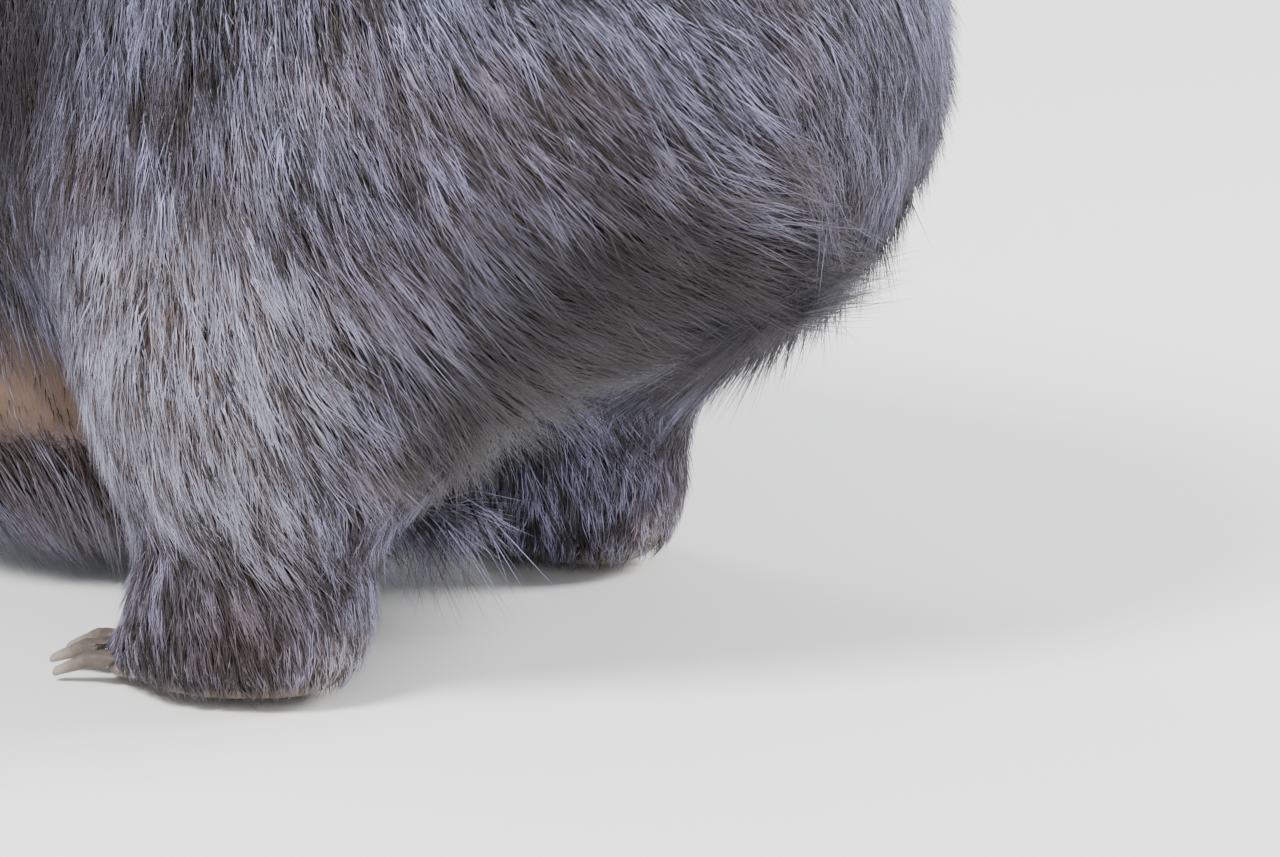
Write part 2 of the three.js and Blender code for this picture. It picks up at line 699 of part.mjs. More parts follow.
const hindParts = [];
for (const leg of legs) {
  const toes = (leg.hind ? HIND_TOES : FORE_TOES).map((toe) => toeOf(leg, toe));
  const blunt = leg.hind ? [toeOf(leg, INNER_TOE)] : [];
  const upper = makeLeg(leg);
  const foot = makeFoot(leg, [...toes, ...blunt]);
  const footName = leg.name.replace("leg", leg.hind ? "foot" : "paw");
  const place = vec(leg.foot.x, leg.foot.y, 0);
  animal.add(meshOf(leg.name, upper, COAT, place.clone().setZ(leg.ankle)));
  animal.add(meshOf(footName, foot, COAT, place));
  for (const [i, toe] of toes.entries()) {
    const claw = clearOf(makeClaw(leg, toe), foot);
    animal.add(meshOf(`${footName}_claw_${i + 1}`, claw, HORN, toe.tip));
  }
  if (leg.hind) hindParts.push(upper, foot);
}
animal.add(meshOf("pouch", makePouch([torso, ...hindParts]), BELLY, vec(...at(0, 0.1, 0.25))));

// The head and all that it carries are placed together in the head's own frame.
const headGroup = new THREE.Group();
headGroup.applyMatrix4(headFrame);
animal.add(headGroup);
let head = makeHead();
for (const eye of eyes) head = head.add(lidsOf(eye)).subtract(eyeBall(eye, EYE_RADIUS + GAP));
head = largest(head.subtract(mouthLine()));
headGroup.add(meshOf("head", head, COAT));
headGroup.add(meshOf("nose", makeNose(head), NOSE, onHead(0, -0.47, 0.01)));
for (const eye of eyes) {
  const name = eye.side > 0 ? "left" : "right";
  headGroup.add(meshOf(`eye_${name}`, eyeBall(eye, EYE_RADIUS), EYE, eye.middle));
  headGroup.add(meshOf(`ear_${name}`, clearOf(makeEar(eye.side), head), COAT));
}

// The origin is under the middle of the whole animal, on the floor.
const middle = new THREE.Box3().setFromObject(animal, true).getCenter(vec());
animal.position.set(-middle.x, -middle.y, 0);

export default animal;
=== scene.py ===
"""A standing female wombat, life-size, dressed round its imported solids.

One skin takes the place of the nodes of flesh and lies under them by the depth of the coat. The coat
is many thin solid tufts that are rooted on the skin and lie along the flow of the hair. The claws, the
nose, the eyes with their lids, the ears and the whiskers are pieces of their own.
"""
import itertools
import math

import bmesh
import bpy
import numpy as np
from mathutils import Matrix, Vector
from mathutils.bvhtree import BVHTree
from mathutils.kdtree import KDTree


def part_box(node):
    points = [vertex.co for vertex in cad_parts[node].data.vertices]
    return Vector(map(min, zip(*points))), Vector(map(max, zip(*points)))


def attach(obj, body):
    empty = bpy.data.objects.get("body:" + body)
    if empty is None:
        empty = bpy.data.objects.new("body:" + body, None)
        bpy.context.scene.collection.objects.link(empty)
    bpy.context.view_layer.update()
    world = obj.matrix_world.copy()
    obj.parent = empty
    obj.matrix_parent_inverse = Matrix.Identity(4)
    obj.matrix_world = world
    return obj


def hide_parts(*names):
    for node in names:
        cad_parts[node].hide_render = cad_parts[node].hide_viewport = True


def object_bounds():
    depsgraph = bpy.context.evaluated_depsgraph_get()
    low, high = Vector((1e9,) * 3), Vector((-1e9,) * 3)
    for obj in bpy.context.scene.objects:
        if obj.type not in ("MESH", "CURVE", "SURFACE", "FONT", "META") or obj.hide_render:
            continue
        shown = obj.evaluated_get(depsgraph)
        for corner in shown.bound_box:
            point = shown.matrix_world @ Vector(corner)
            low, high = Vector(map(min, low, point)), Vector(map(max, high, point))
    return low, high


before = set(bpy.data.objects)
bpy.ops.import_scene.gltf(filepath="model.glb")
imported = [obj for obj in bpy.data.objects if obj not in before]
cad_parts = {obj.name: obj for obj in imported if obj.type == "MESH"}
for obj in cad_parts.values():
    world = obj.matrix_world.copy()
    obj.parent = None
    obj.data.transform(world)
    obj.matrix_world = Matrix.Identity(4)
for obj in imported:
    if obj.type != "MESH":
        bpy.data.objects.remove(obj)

bl_info = {
    "name": "Standing wombat",
    "version": (1, 0, 0),
    "blender": (4, 5, 0),
    "location": "3D View > Sidebar > Wombat",
    "description": "Skin, coat, face, claws and stage of a life-size wombat",
    "category": "Object",
}

PACKED_BOX = [list(corner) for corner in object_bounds()]
LOW, HIGH = (np.array(corner) for corner in PACKED_BOX)
MM = 0.001
OUTWARD = {"left": 1, "right": -1}
SIDES = tuple(OUTWARD)
LEGS = ("hindleg", "foreleg")
FEET = ("hindfoot", "forepaw")
FLESH = ["torso", "neck", "tail", "head", "pouch"] + [
    f"{part}_{side}" for part in LEGS + FEET for side in SIDES
]
CLAWS = sorted(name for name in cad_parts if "_claw_" in name)


# Numbers and arrays
def colour_of(text):
    """The linear colour of six hexadecimal digits."""
    parts = [int(text[k : k + 2], 16) / 255 for k in (0, 2, 4)]
    return tuple(v / 12.92 if v <= 0.04045 else ((v + 0.055) / 1.055) ** 2.4 for v in parts)


def smoothstep(low, high, value):
    t = np.clip((value - low) / (high - low), 0, 1)
    return t * t * (3 - 2 * t)


def mix(a, b, t):
    return a + (b - a) * t


def unit(vectors):
    return vectors / np.maximum(np.linalg.norm(vectors, axis=-1, keepdims=True), 1e-12)


def dot(a, b):
    return np.sum(a * b, axis=-1, keepdims=True)


def cloud(points, size, seed):
    """Smooth random values from -1 to 1 that change over the given size."""
    cell = points / size
    base = np.floor(cell).astype(np.int64)
    part = cell - base
    part = part * part * (3 - 2 * part)
    total = np.zeros(len(points))
    for corner in itertools.product((0, 1), repeat=3):
        at = base + np.array(corner)
        # A number for each corner of the grid, mixed from its place and the seed
        mixed = (at[:, 0] * 73856093) ^ (at[:, 1] * 19349663) ^ (at[:, 2] * 83492791) ^ (seed * 7919)
        mixed = (mixed * 1103515245 + 12345) & 0x7FFFFFFF
        value = ((mixed >> 9) & 0xFFFF) / 32767.5 - 1
        total += value * np.prod(np.where(corner, part, 1 - part), axis=1)
    return total


def read(items, field, width, kind=np.float32):
    flat = np.empty(len(items) * width, kind)
    items.foreach_get(field, flat)
    return flat.reshape(-1, width)


# Places
def box_middle(name):
    low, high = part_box(name)
    return np.array((low + high) / 2)


def on_body(x, y, z):
    """A place in the whole box: across and along from -1 to 1, and up from 0 to 1."""
    return np.array([mix(LOW[0], HIGH[0], (x + 1) / 2), mix(LOW[1], HIGH[1], (y + 1) / 2), HIGH[2] * z])


# The head: its length, the slope of its axis, and the seat of the eyes in shares of its length
HEAD_LENGTH = 0.225
HEAD_PITCH = math.radians(14)
EYE_SEAT = (0.0, -0.269, 0.104)
EYES = {side: box_middle(f"eye_{side}") for side in SIDES}
HEAD_ACROSS = unit(EYES["left"] - EYES["right"])
HEAD_LEVEL = np.array([-HEAD_ACROSS[1], HEAD_ACROSS[0], 0.0])
HEAD_BACK = HEAD_LEVEL * math.cos(HEAD_PITCH) + np.array([0, 0, math.sin(HEAD_PITCH)])
HEAD_UP = np.cross(HEAD_ACROSS, HEAD_BACK)
HEAD_AXES = np.array([HEAD_ACROSS, HEAD_BACK, HEAD_UP])
HEAD_MIDDLE = (EYES["left"] + EYES["right"]) / 2 - np.array(EYE_SEAT) * HEAD_LENGTH @ HEAD_AXES


def on_head(x, y, z):
    """A place on the head, in shares of its length: to its left, back and up from its middle."""
    return HEAD_MIDDLE + np.array([x, y, z]) * HEAD_LENGTH @ HEAD_AXES


def head_way(x, y, z):
    return unit(np.array([x, y, z], float) @ HEAD_AXES)


# Meshes
class Surface:
    """A mesh as arrays: its points, edges and triangles."""

    def __init__(self, mesh):
        mesh.calc_loop_triangles()
        self.points = read(mesh.vertices, "co", 3).astype(float)
        self.edges = read(mesh.edges, "vertices", 2, np.int32)
        self.triangles = read(mesh.loop_triangles, "vertices", 3, np.int32)

    def normals(self):
        a, b, c = (self.points[self.triangles[:, k]] for k in range(3))
        face = np.cross(b - a, c - a)
        total = np.zeros_like(self.points)
        for k in range(3):
            for axis in range(3):
                total[:, axis] += np.bincount(self.triangles[:, k], face[:, axis], len(total))
        return unit(total)

    def areas(self):
        a, b, c = (self.points[self.triangles[:, k]] for k in range(3))
        return np.linalg.norm(np.cross(b - a, c - a), axis=1) / 2

    def spread_out(self, values, rounds, share=0.5, weight=1.0):
        """Values at the points, each drawn towards the mean of its neighbours."""
        values = np.array(values, float)
        flat = values.reshape(len(values), -1)
        first, second = self.edges.T
        count = np.bincount(self.edges.ravel(), minlength=len(flat))[:, None]
        weight = np.broadcast_to(np.reshape(weight, (-1, 1)), (len(flat), 1))
        for _ in range(rounds):
            total = np.stack(
                [
                    np.bincount(first, column[second], len(flat))
                    + np.bincount(second, column[first], len(flat))
                    for column in flat.T
                ],
                axis=1,
            )
            flat = flat + (total / np.maximum(count, 1) - flat) * share * weight
        return flat.reshape(values.shape)

    def tree(self):
        return BVHTree.FromPolygons(self.points.tolist(), self.triangles.tolist())


def node_arrays(names):
    """The points and triangles of some nodes, and for each triangle the place of its node in names."""
    points, faces, owners, start = [], [], [], 0
    for place, name in enumerate(names):
        part = Surface(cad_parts[name].data)
        points.append(part.points)
        faces.append(part.triangles + start)
        owners.append(np.full(len(part.triangles), place))
        start += len(part.points)
    return np.concatenate(points), np.concatenate(faces), np.concatenate(owners)


def add_object(name, mesh):
    piece = bpy.data.objects.new(name, mesh)
    bpy.context.scene.collection.objects.link(piece)
    return piece


def mesh_from(name, points, faces):
    mesh = bpy.data.meshes.new(name)
    mesh.from_pydata(np.asarray(points).tolist(), [], [list(face) for face in faces])
    mesh.update()
    return mesh


def cast_round(name, nodes, voxel):
    """One closed mesh of even quads round the named nodes."""
    points, faces, _ = node_arrays(nodes)
    return evened(name, points, faces, voxel)


def evened(name, points, faces, voxel):
    """One closed mesh of even quads that follows the given one."""
    holder = add_object(name, mesh_from(name, points, faces.tolist()))
    voxels = holder.modifiers.new("Voxels", "REMESH")
    voxels.mode = "VOXEL"
    voxels.voxel_size = voxel
    shown = holder.evaluated_get(bpy.context.evaluated_depsgraph_get())
    mesh = bpy.data.meshes.new_from_object(shown)
    rough = holder.data
    bpy.data.objects.remove(holder)
    bpy.data.meshes.remove(rough)
    mesh.name = name
    return mesh


def divide_near(mesh, near):
    """Splits the faces whose middle the test accepts."""
    shape = bmesh.new()
    shape.from_mesh(mesh)
    faces = [face for face in shape.faces if near(face.calc_center_median())]
    edges = list({edge for face in faces for edge in face.edges})
    bmesh.ops.subdivide_edges(shape, edges=edges, cuts=1, use_grid_fill=True)
    shape.to_mesh(mesh)
    shape.free()


def put_points(mesh, points):
    mesh.vertices.foreach_set("co", np.asarray(points, np.float32).ravel())
    mesh.update()


def put_values(mesh, **values):
    """Writes values at the points as the mesh's attributes."""
    for name, array in values.items():
        array = np.asarray(array, np.float32)
        vector = array.ndim == 2
        kind = "FLOAT_VECTOR" if vector else "FLOAT"
        layer = mesh.attributes.new(name, kind, "POINT")
        layer.data.foreach_set("vector" if vector else "value", array.ravel())


def shade_smooth(mesh):
    mesh.polygons.foreach_set("use_smooth", np.ones(len(mesh.polygons), bool))
    mesh.update()


def clad(mesh, material):
    """Smooths a mesh and gives it its one material."""
    shade_smooth(mesh)
    mesh.materials.clear()
    mesh.materials.append(material)


def rings_mesh(name, rings, loop=False):
    """A skin over rings of equally many points, with its ends capped or joined to each other."""
    rings = np.asarray(rings)
    count, turns = rings.shape[:2]
    faces = []
    for r in range(count if loop else count - 1):
        here, there = r * turns, ((r + 1) % count) * turns
        for k in range(turns):
            n = (k + 1) % turns
            faces.append((here + k, here + n, there + n, there + k))
    if not loop:
        faces.append(tuple(range(turns))[::-1])
        faces.append(tuple((count - 1) * turns + k for k in range(turns)))
    mesh = mesh_from(name, rings.reshape(-1, 3), faces)
    shape = bmesh.new()
    shape.from_mesh(mesh)
    bmesh.ops.recalc_face_normals(shape, faces=shape.faces)
    shape.to_mesh(mesh)
    shape.free()
    shade_smooth(mesh)
    return mesh


def join_meshes(name, meshes):
    shape = bmesh.new()
    for mesh in meshes:
        shape.from_mesh(mesh)
        bpy.data.meshes.remove(mesh)
    joined = bpy.data.meshes.new(name)
    shape.to_mesh(joined)
    shape.free()
    return joined


# Shader nodes
class Wire:
    """An output socket, whose arithmetic adds Math nodes."""

    def __init__(self, shader, socket):
        self.shader, self.socket = shader, socket

    def math(self, operation, *values):
        return self.shader.node("ShaderNodeMath", {"operation": operation}, dict(enumerate(values)))

    def __add__(self, other):
        return self.math("ADD", self, other)

    __radd__ = __add__

    def __sub__(self, other):
        return self.math("SUBTRACT", self, other)

    def __rsub__(self, other):
        return self.math("SUBTRACT", other, self)

    def __mul__(self, other):
        return self.math("MULTIPLY", self, other)

    __rmul__ = __mul__

    def above(self, low, high):
        """0 below low, 1 above high and smooth between them."""
        settings = {"interpolation_type": "SMOOTHSTEP"}
        return self.shader.node(
            "ShaderNodeMapRange", settings, {"Value": self, "From Min": low, "From Max": high}
        )


class Shader:
    """A material made of nodes, ending in one Principled shader."""

    def __init__(self, name):
        self.material = bpy.data.materials.new(name)
        self.material.use_nodes = True
        self.tree = self.material.node_tree
        self.tree.nodes.clear()

    def node(self, kind, settings=None, sockets=None, out=0):
        """Adds a node, sets its settings and then its sockets, and gives one of its outputs."""
        made = self.tree.nodes.new(kind)
        for name, value in (settings or {}).items():
            setattr(made, name, value)
        for key, value in (sockets or {}).items():
            socket = self.input_of(made, key)
            if isinstance(value, Wire):
                self.tree.links.new(value.socket, socket)
            elif socket.type == "RGBA" and len(value) == 3:
                socket.default_value = (*value, 1.0)
            else:
                socket.default_value = value
        if not made.outputs:
            return made
        if isinstance(out, int):
            return Wire(self, made.outputs[out])
        return Wire(self, next(s for s in made.outputs if out in (s.identifier, s.name)))

    @staticmethod
    def input_of(made, key):
        if isinstance(key, int):
            return made.inputs[key]
        return next(socket for socket in made.inputs if key in (socket.identifier, socket.name))

    def value(self, name):
        return self.node("ShaderNodeAttribute", {"attribute_name": name}, out="Fac")

    def vector(self, name):
        return self.node("ShaderNodeAttribute", {"attribute_name": name}, out="Vector")

    def place(self):
        return self.node("ShaderNodeTexCoord", out="Object")

    def scaled(self, vector, factors):
        return self.node("ShaderNodeVectorMath", {"operation": "MULTIPLY"}, {0: vector, 1: factors})

    def noise(self, vector, scale, detail=2.0, roughness=0.5, distortion=0.0):
        sockets = {"Vector": vector, "Scale": scale, "Detail": detail, "Roughness": roughness}
        return self.node("ShaderNodeTexNoise", None, {**sockets, "Distortion": distortion})

    def cells(self, vector, scale, feature="F1"):
        sockets = {"Vector": vector, "Scale": scale}
        return self.node("ShaderNodeTexVoronoi", {"feature": feature}, sockets, out="Distance")

    def blend(self, factor, first, second):
        settings = {"data_type": "RGBA", "clamp_factor": True}
        sockets = {"Factor_Float": factor, "A_Color": first, "B_Color": second}
        return self.node("ShaderNodeMix", settings, sockets, out="Result_Color")

    def bump(self, height, distance, strength):
        sockets = {"Height": height, "Distance": distance, "Strength": strength}
        return self.node("ShaderNodeBump", None, sockets)

    def finish(self, **sockets):
        """Adds the Principled shader and the output. Names are those of its sockets, with _ for a space."""
        named = {name.replace("_", " "): value for name, value in sockets.items()}
        surface = self.node("ShaderNodeBsdfPrincipled", None, named)
        self.node("ShaderNodeOutputMaterial", None, {"Surface": surface})
        return self.material


def tone(settings, name):
    return tuple(getattr(settings, name))


def pelt_colours(shader, grain, settings):
    """The root and the tip colour of the coat, the same for skin and tufts. Grain picks silver strands, whose
    bluish tone is a painted sheen.
    """
    shade, warm = shader.value("shade"), shader.value("warm")
    root = shader.blend(warm, tone(settings, "root"), tone(settings, "warm_root"))
    tip = shader.blend(grain, tone(settings, "tip"), tone(settings, "silver"))
    tip = shader.blend(warm * 0.75, tip, tone(settings, "warm_tip"))
    # dark and light follow the coat's own tone and also its painted shade on the low rump and painted sheen
    # on the thigh
    dark = (0.5 - shade).above(0.0, 0.5)
    light = (shade - 0.5).above(0.0, 0.5)
    tip = shader.blend(dark, tip, tone(settings, "dark_tip"))
    tip = shader.blend(light * 0.8, tip, tone(settings, "pale"))
    root = shader.blend(light * 0.6, root, tone(settings, "warm_tip"))
    return root, tip


def hair_material(name, settings):
    """A tuft: dark at its root and silvery at its tip, with its own tint. The dark root is partly the
    underfur's colour and partly painted shade between the tufts; the bluish silver is partly a painted sheen.
    """
    shader = Shader(name)
    along, tint = shader.value("along"), shader.value("tint")
    root, tip = pelt_colours(shader, tint.above(0.4, 0.85), settings)
    # Darker towards the root: the underfur's colour, and painted shade between the tufts
    reach = (along + (tint - 0.5) * 0.9).above(0.2, 0.95)
    colour = shader.blend(reach, root, tip)
    colour = shader.blend((0.42 - tint).above(0.0, 0.35) * 0.8, colour, tone(settings, "root"))
    return shader.finish(Base_Color=colour, Roughness=0.38 + tint * 0.1, Specular_IOR_Level=0.55)


def skin_material(settings):
    """The skin under the coat: short felted hair, and bare skin on soles, heels, lips and pouch."""
    shader = Shader("wombat skin")
    place = shader.place()
    bare, thin = shader.value("bare"), shader.value("thin")
    strands = shader.noise(shader.scaled(place, (1.0, 1.0, 0.25)), 900.0, 3.0, 0.6)
    root, tip = pelt_colours(shader, strands.above(0.4, 0.7), settings)
    felt = shader.blend(strands.above(0.3, 0.75) * 0.55, root, tip)
    folds = shader.noise(place, 120.0, 4.0, 0.6, 0.6)
    hide = shader.blend(folds, tone(settings, "hide_dark"), tone(settings, "hide"))
    creases = shader.noise(place, 60.0, 4.0, 0.6)
    sack = shader.blend(creases, tone(settings, "pouch_dark"), tone(settings, "pouch"))
    sack = shader.blend(strands.above(0.62, 0.8) * 0.5, sack, tone(settings, "tip"))
    colour = shader.blend(thin, felt, sack)
    colour = shader.blend(bare, colour, hide)
    pores = shader.cells(place, 700.0)
    wrinkles = shader.noise(shader.scaled(place, (1.0, 0.5, 2.2)), 260.0, 4.0, 0.65, 0.8)
    height = strands * (1.0 - bare) * 0.6 + wrinkles * bare * 1.2 + pores * bare * 0.25
    return shader.finish(
        Base_Color=colour,
        Roughness=0.78 - bare * 0.16 + (strands - 0.5) * 0.15,
        Specular_IOR_Level=0.3,
        Normal=shader.bump(height, 0.0012, 0.8),
    )


def ear_material(settings):
    """The ear: thin-haired outside, and bare pinkish grey skin in its cup."""
    shader = Shader("wombat ear")
    place = shader.place()
    inner = shader.value("inner")
    strands = shader.noise(place, 1100.0, 3.0, 0.6)
    root, tip = pelt_colours(shader, strands.above(0.4, 0.7), settings)
    outside = shader.blend(strands * 0.8, root, tip)
    veins = shader.noise(place, 150.0, 4.0, 0.6, 0.5)
    cup = shader.blend(veins, tone(settings, "cup_dark"), tone(settings, "cup"))
    return shader.finish(
        Base_Color=shader.blend(inner, outside, cup),
        Roughness=0.75 - inner * 0.12,
        Specular_IOR_Level=0.3,
        Normal=shader.bump(strands * (1.0 - inner) + veins * inner * 0.6, 0.0006, 0.7),
    )


def nose_material(settings):
    """Bare pebbled skin, moist in patches."""
    shader = Shader("wombat nose")
    place = shader.place()
    pebbles = shader.cells(place, 750.0, "SMOOTH_F1")
    mottle = shader.noise(place, 120.0, 3.0, 0.6)
    colour = shader.blend(mottle, tone(settings, "nose_dark"), tone(settings, "nose"))
    colour = shader.blend(pebbles.above(0.25, 0.7) * 0.5, colour, tone(settings, "nose_dark"))
    fine = shader.noise(place, 2400.0, 2.0, 0.5)
    return shader.finish(
        Base_Color=colour,
        Roughness=0.34 + mottle * 0.2,
        Specular_IOR_Level=0.5,
        Coat_Weight=mottle.above(0.35, 0.7) * 0.25,
        Coat_Roughness=0.25,
        Normal=shader.bump(fine * 0.15 - pebbles, 0.0005, 0.8),
    )


def lid_material(settings):
    """Bare dark skin with fine folds round the eye."""
    shader = Shader("wombat lids")
    place = shader.place()
    folds = shader.noise(place, 420.0, 4.0, 0.6, 0.4)
    colour = shader.blend(folds, tone(settings, "lid_dark"), tone(settings, "lid"))
    colour = shader.blend(shader.value("rim") * 0.7, colour, tone(settings, "lid_dark"))
    return shader.finish(
        Base_Color=colour,
        Roughness=0.7 - shader.value("rim") * 0.2,
        Specular_IOR_Level=0.3,
        Normal=shader.bump(folds, 0.0005, 0.7),
    )


def eye_material(settings):
    """A wet ball: black pupil, dark brown iris with fine rays, and a darker rim."""
    shader = Shader("wombat eye")
    off = shader.value("off_axis")
    rays = shader.noise(shader.scaled(shader.vector("ray"), (6.0, 6.0, 0.6)), 4.0, 3.0, 0.6)
    iris = shader.blend(rays, tone(settings, "iris_dark"), tone(settings, "iris"))
    ball = shader.blend(off.above(0.62, 0.8), iris, tone(settings, "sclera"))
    ball = shader.blend(off.above(0.24, 0.3), tone(settings, "pupil"), ball)
    return shader.finish(
        Base_Color=ball,
        Roughness=0.05 + off * 0.06,
        Specular_IOR_Level=0.35,
        Coat_Weight=0.1,
        Coat_Roughness=0.02,
    )


def claw_material(settings):
    """Horn with lengthwise grain, paler and scratched towards its worn tip."""
    shader = Shader("wombat claws")
    place = shader.place()
    grain = shader.noise(shader.scaled(place, (1.0, 0.12, 0.5)), 900.0, 4.0, 0.6)
    wear = shader.value("worn")
    mottle = shader.noise(place, 140.0, 3.0, 0.6)
    colour = shader.blend(grain, tone(settings, "claw_dark"), tone(settings, "claw"))
    paled = (wear + (mottle - 0.5) * 0.6).above(0.3, 0.95) * 0.7
    colour = shader.blend(paled, colour, tone(settings, "claw_worn"))
    return shader.finish(
        Base_Color=colour,
        Roughness=0.5 + (grain - 0.5) * 0.3 + wear * 0.1,
        Specular_IOR_Level=0.45,
        Normal=shader.bump(grain, 0.0004, 0.6),
    )


def whisker_material(settings):
    shader = Shader("wombat whiskers")
    along = shader.value("along")
    colour = shader.blend(along, tone(settings, "whisker"), tone(settings, "tip"))
    return shader.finish(Base_Color=colour, Roughness=0.45 + along * 0.1, Specular_IOR_Level=0.4)


def floor_material(settings):
    """A plain pale matt floor with the faintest mottle."""
    shader = Shader("studio floor")
    mottle = shader.noise(shader.place(), 3.0, 4.0, 0.5)
    floor = tone(settings, "floor")
    paler = tuple(min(1.0, 1.03 * v) for v in floor)
    return shader.finish(
        Base_Color=shader.blend(mottle, floor, paler), Roughness=0.9, Specular_IOR_Level=0.15
    )


# The body under its coat
class Fur:
    """How the hair of one part grows: lengths in millimetres, density in tufts for each square millimetre.

    Iron says how far the locks of its solid are worn down, from 0 to 1.
    """

    def __init__(self, depth, length, width, density, iron=1.0):
        self.depth, self.length, self.width, self.density, self.iron = depth, length, width, density, iron


THIN = Fur(3.0, 12.0, 0.45, 0.035)
HEM = Fur(7.0, 40.0, 1.0, 0.16)
HEM_DROOP = 14.0
MUZZLE = Fur(1.8, 6.0, 0.7, 0.3)
FURS = {
    "torso": Fur(9, 42, 1.25, 0.092),
    "neck": Fur(8.5, 32, 1.25, 0.09, 0.8),
    "tail": Fur(4, 15, 1.0, 0.2, 0.3),
    "head": Fur(6, 17, 1.0, 0.15, 0.12),
    "pouch": Fur(2, 10, 0.6, 0.05, 0.15),
    "hindleg": Fur(6, 33, 1.2, 0.1, 0.5),
    "foreleg": Fur(6, 28, 1.2, 0.1, 0.5),
    "hindfoot": Fur(3.2, 22, 0.8, 0.2, 0.1),
    "forepaw": Fur(3, 12, 0.8, 0.2, 0.1),
}


def fur_of(node):
    return FURS[node.replace("_left", "").replace("_right", "")]


# Where the hair points: a place in the whole box, and the way it lies there, on the left and mirrored
FLOW = [
    ((0.0, -0.41, 0.9), (0, 1, 0.05)),
    ((0.0, 0.1, 0.99), (0, 1, 0)),
    ((0.0, 0.51, 0.99), (0, 1, -0.15)),
    ((0.0, 0.82, 0.87), (0, 0.8, -0.6)),
    ((0.0, 0.985, 0.65), (0, 0.25, -0.97)),
    ((0.0, 0.985, 0.55), (0, 0.5, -0.85)),
    ((0.0, 0.92, 0.4), (0, 0.5, -0.85)),
    ((0.54, -0.41, 0.82), (0.5, 0.75, -0.45)),
    ((0.81, -0.37, 0.59), (0.1, 0.5, -0.85)),
    ((0.59, 0.12, 0.9), (0.55, 0.55, -0.6)),
    ((0.9, 0.12, 0.72), (0.1, 0.35, -0.93)),
    ((0.95, 0.12, 0.58), (0, 0.25, -0.97)),
    ((0.86, 0.12, 0.38), (-0.1, 0.15, -0.98)),
    ((0.54, 0.1, 0.24), (-0.3, 0.6, -0.5)),
    ((0.0, 0.1, 0.22), (0, 1, 0)),
    ((0.59, 0.57, 0.9), (0.45, 0.55, -0.7)),
    ((0.93, 0.39, 0.56), (-0.05, 0.07, -1)),
    ((0.9, 0.46, 0.71), (-0.19, 0.25, -0.95)),
    ((0.94, 0.55, 0.67), (-0.22, 0.3, -0.93)),
    ((0.96, 0.62, 0.54), (-0.24, 0.33, -0.91)),
    ((0.99, 0.56, 0.4), (-0.1, 0.14, -0.98)),
    ((0.96, 0.6, 0.32), (-0.16, 0.21, -0.97)),
    ((0.88, 0.69, 0.37), (-0.37, 0.49, -0.79)),
    ((0.76, 0.72, 0.3), (-0.34, 0.46, -0.82)),
    ((0.85, 0.77, 0.56), (-0.3, 0.4, -0.87)),
    ((0.76, 0.84, 0.44), (-0.52, 0.69, -0.5)),
    ((0.66, 0.87, 0.63), (-0.37, 0.49, -0.79)),
    ((0.49, 0.85, 0.4), (-0.56, 0.74, -0.37)),
    ((0.43, 0.94, 0.55), (-0.57, 0.76, -0.31)),
    ((0.38, 0.94, 0.46), (-0.54, 0.72, -0.42)),
    ((0.51, 0.9, 0.73), (-0.32, 0.42, -0.85)),
    ((0.23, 0.97, 0.71), (-0.2, 0.46, -0.85)),
    ((0.81, 0.65, 0.17), (-0.3, 0.4, -0.87)),
    ((0.89, 0.58, 0.17), (-0.25, 0.34, -0.9)),
    ((0.91, 0.38, 0.42), (0.05, -0.07, -1)),
    ((0.59, 0.66, 0.2), (0, 0.1, -1)),
    ((0.32, 0.49, 0.23), (0, 0.1, -1)),
    ((0.62, 0.41, 0.1), (0, -1, -0.4)),
    ((0.89, 0.53, 0.08), (-0.15, 0.1, -0.94)),
    ((0.62, 0.64, 0.06), (0, 0.2, -1)),
    ((0.7, -0.35, 0.46), (0, 0.3, -1)),
    ((0.57, -0.35, 0.2), (0, 0.1, -1)),
    ((0.57, -0.44, 0.09), (0, -1, -0.4)),
    ((0.0, -0.6, 0.46), (0, 0.35, -1)),
    ((0.49, -0.53, 0.46), (0.1, 0.4, -0.9)),
    ((0.0, -0.41, 0.26), (0, 1, -0.1)),
    ((0.0, -0.64, 0.88), (0, 1, 0.15)),
    ((0.65, -0.64, 0.62), (0.1, 0.9, -0.5)),
    ((0.0, -0.64, 0.36), (0, 1, -0.4)),
    ((0.03, -0.8, 0.82), (0, 1, 0.35)),
    ((0.06, -0.92, 0.67), (0, 0.8, 0.6)),
    ((0.43, -0.8, 0.59), (0.35, 0.9, -0.25)),
    ((0.24, -0.93, 0.55), (0.5, 0.85, -0.1)),
    ((0.05, -0.9, 0.42), (0, 1, -0.25)),
    ((0.35, -0.78, 0.42), (0.1, 0.95, -0.35)),
    ((0.0, 0.41, 0.15), (0, 1, 0)),
    ((0.45, 0.26, 0.2), (-0.2, 0.25, -1)),
    ((0.3, 0.27, 0.12), (0.1, 0.2, -1)),
]
FLOW_REACH = 25 * MM
PARTING = 75 * MM
PARTING_WIDTH = 55 * MM


def flow_at(points, normals):
    """The way that the hair lies at each point, along the skin, with its parting to the right on the rump."""
    total = np.zeros_like(points)
    leftward = points[:, 0] + PARTING * smoothstep(0.55, 0.9, points[:, 1] / HIGH[1])
    for (x, y, z), way in FLOW:
        for side in (1, -1) if x else (0,):
            turned = np.array([(side or 1) * way[0], way[1], way[2]], float)
            away = np.sum((points - on_body(side * x, y, z)) ** 2, axis=1)
            weight = 1 / (away + FLOW_REACH**2) ** 2
            if side:
                weight = weight * smoothstep(-PARTING_WIDTH, PARTING_WIDTH, side * leftward)
            total += unit(turned) * weight[:, None]
    wave = np.stack([cloud(points, 70 * MM, seed) for seed in (1, 2, 3)], axis=1)
    total = unit(total) + 0.14 * wave
    return unit(total - dot(total, normals) * normals)


